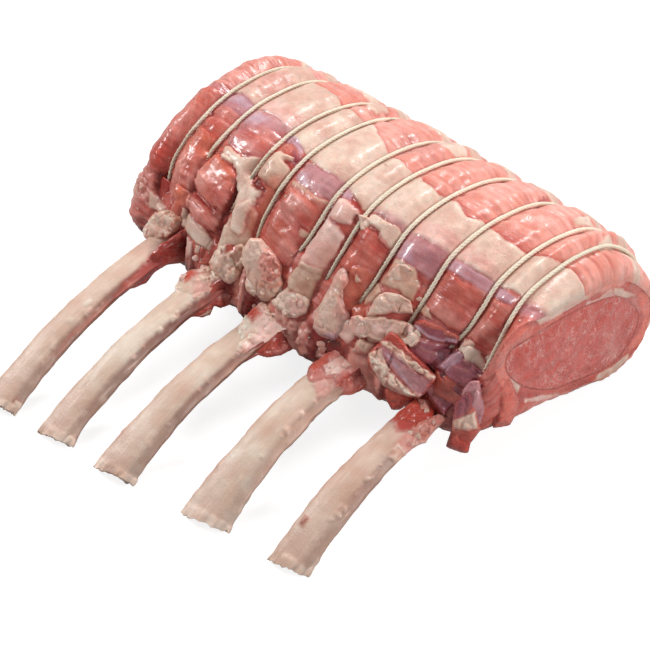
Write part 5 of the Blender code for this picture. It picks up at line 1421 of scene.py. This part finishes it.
def twine_material():
    """Butcher's twine: twisted cotton, matt and fuzzy; its colour is darker lower down, from soaking and from
    painted shade.
    """
    material, tree, shader = new_material("twisted_cotton_twine", {"Sheen Weight": 0.2})
    tone = add_node(tree, "Attribute", {"attribute_name": "tone"}).outputs["Color"]
    place = add_node(tree, "TexCoord").outputs["Object"]
    # lint: the real fibres are finer than these tufts 0.7 mm wide, but wouldn't show
    lint = add_node(tree, "TexNoise",
                    inputs={"Vector": place, "Scale": 1500.0, "Detail": 4.0}).outputs["Fac"]
    shade = add_node(tree, "MapRange",
                     inputs={"Value": lint, **NOISE_RANGE, "To Min": 0.85, "To Max": 1.08})
    colour = add_node(tree, "VectorMath", SCALE, {0: tone, "Scale": shade.outputs["Result"]})
    tree.links.new(colour.outputs[0], shader.inputs["Base Color"])
    bump = add_node(tree, "Bump", inputs={"Height": lint, "Strength": 0.6, "Distance": 0.0004})
    tree.links.new(bump.outputs["Normal"], shader.inputs["Normal"])
    matt = add_node(tree, "MapRange", inputs={"Value": lint, **NOISE_RANGE, "To Min": 0.78, "To Max": 0.94})
    tree.links.new(matt.outputs["Result"], shader.inputs["Roughness"])
    return material


def bone_material():
    """Scraped rib bone: smooth periosteum, cream to pink, with fine lengthwise streaks."""
    material, tree, shader = new_material("scraped_rib_bone", {
        "Subsurface Weight": 0.2, "Subsurface Radius": (1.0, 0.6, 0.4), "Subsurface Scale": 0.0015})
    tone = add_node(tree, "Attribute", {"attribute_name": "tone"}).outputs["Color"]
    grain = add_node(tree, "Attribute", {"attribute_name": "grain"}).outputs["Vector"]
    place = add_node(tree, "TexCoord").outputs["Object"]
    stretched = add_node(tree, "Mapping",
                         inputs={"Vector": grain, "Scale": (90, 900, 100)}).outputs["Vector"]
    # streaks along the bone, 1.1 mm wide and about 11 mm long
    lines = add_node(tree, "TexNoise", inputs={"Vector": stretched, "Scale": 1.0, "Detail": 4.0,
                                               "Roughness": 0.65}).outputs["Fac"]
    shade = add_node(tree, "MapRange",
                     inputs={"Value": lines, **NOISE_RANGE, "To Min": 0.93, "To Max": 1.04})
    colour = add_node(tree, "VectorMath", SCALE, {0: tone, "Scale": shade.outputs["Result"]})
    tree.links.new(colour.outputs[0], shader.inputs["Base Color"])
    # scraped surface: grit 1.1 mm wide
    grit = add_node(tree, "TexNoise",
                    inputs={"Vector": place, "Scale": 900.0, "Detail": 3.0}).outputs["Fac"]
    relief = add_node(tree, "Math", ADD, {0: lines, 1: grit})
    bump = add_node(tree, "Bump",
                    inputs={"Height": relief.outputs[0], "Strength": 0.35, "Distance": 0.0004})
    tree.links.new(bump.outputs["Normal"], shader.inputs["Normal"])
    sheen = add_node(tree, "MapRange",
                     inputs={"Value": grit, **NOISE_RANGE, "To Min": 0.36, "To Max": 0.54})
    tree.links.new(sheen.outputs["Result"], shader.inputs["Roughness"])
    return material


veal, cotton, bone = meat_material("raw_veal_lean_and_fat"), twine_material(), bone_material()
cut_veal = meat_material("raw_veal_cut_across_the_grain", veined=True)

for pieces, material in ((roll_pieces + trimmings, veal), ([eye], cut_veal), (twines, cotton), (ribs, bone)):
    for piece in pieces:
        piece.data.materials.append(material)
for piece in roll_pieces + [eye] + trimmings + twines + ribs:
    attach(piece, "root")
for piece in roll_pieces:
    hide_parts("meat")
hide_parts("loin_eye")
for number, piece in enumerate(twines, start=1):
    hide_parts(f"twine_{number}")
for number, piece in enumerate(ribs, start=1):
    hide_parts(f"rib_{number}")

# ======== floor, light and camera ========
FLOOR_SIZE, FLOOR_Z = 8, -0.0002             # metres; the floor lies just under the part
# the table glows nearly white where it is looked at, but lights the meat only as a grey one would
FLOOR_LIT, FLOOR_SEEN = (0.45, 0.45, 0.45, 1), (0.4, 0.4, 0.4, 1)
FLOOR_GLOW = 0.82
bpy.ops.mesh.primitive_plane_add(size=FLOOR_SIZE, location=(0, 0, FLOOR_Z))
floor = bpy.context.object
floor.name = "floor"
material, tree, shader = new_material("white_table", {"Roughness": 0.9, "Emission Color": (1, 1, 1, 1)})
seen = add_node(tree, "LightPath").outputs["Is Camera Ray"]
pale = add_node(tree, "Mix", MIX_COLOURS, {0: seen, 6: FLOOR_LIT, 7: FLOOR_SEEN})
glow = add_node(tree, "Math", MULTIPLY, {0: seen, 1: FLOOR_GLOW})
tree.links.new(pale.outputs[2], shader.inputs["Base Color"])
tree.links.new(glow.outputs[0], shader.inputs["Emission Strength"])
floor.data.materials.append(material)


LIT_PLACE = (0, 0.03, 0.04)                  # metres; the lights look at the middle of the roll


def soft_light(name, place, size, power):
    """A round soft light at place, so many metres wide and with so many watts."""
    light = bpy.data.lights.new(name, "AREA")
    light.shape = "DISK"
    light.size = size
    light.energy = power
    lamp = bpy.data.objects.new(name, light)
    bpy.context.scene.collection.objects.link(lamp)
    lamp.location = place
    lamp.rotation_euler = (Vector(LIT_PLACE) - Vector(place)).to_track_quat("-Z", "Y").to_euler()


soft_light("key", (-0.2, 1.1, 1.2), 0.55, 20)
soft_light("front", (-1.25, -0.4, 0.9), 0.35, 14)
soft_light("side", (1.3, 0.1, 0.8), 0.4, 11)
world = bpy.data.worlds.new("studio")
bpy.context.scene.world = world
world.use_nodes = True
background = world.node_tree.nodes["Background"]
background.inputs["Color"].default_value = (1, 1, 1, 1)
background.inputs["Strength"].default_value = 0.28
bpy.context.scene.view_settings.view_transform = "Standard"

AZIMUTH, ELEVATION, DISTANCE = math.radians(44), math.radians(45), 1.0
SENSOR_WIDTH, VIEW_WIDTH = 36, 325           # millimetres; the view is this wide at a distance of 1 m
back = Vector((math.sin(AZIMUTH) * math.cos(ELEVATION), -math.cos(AZIMUTH) * math.cos(ELEVATION),
               math.sin(ELEVATION)))
camera_data = bpy.data.cameras.new("camera")
camera_data.sensor_width = SENSOR_WIDTH
camera_data.lens = SENSOR_WIDTH * 1000 / VIEW_WIDTH
camera_data.clip_end = 20
camera = bpy.data.objects.new("camera", camera_data)
bpy.context.scene.collection.objects.link(camera)
camera.location = Vector(ROLL_FRAME_SHIFT) * MM + back * DISTANCE
camera.rotation_euler = (-back).to_track_quat("-Z", "Y").to_euler()
bpy.context.scene.camera = camera
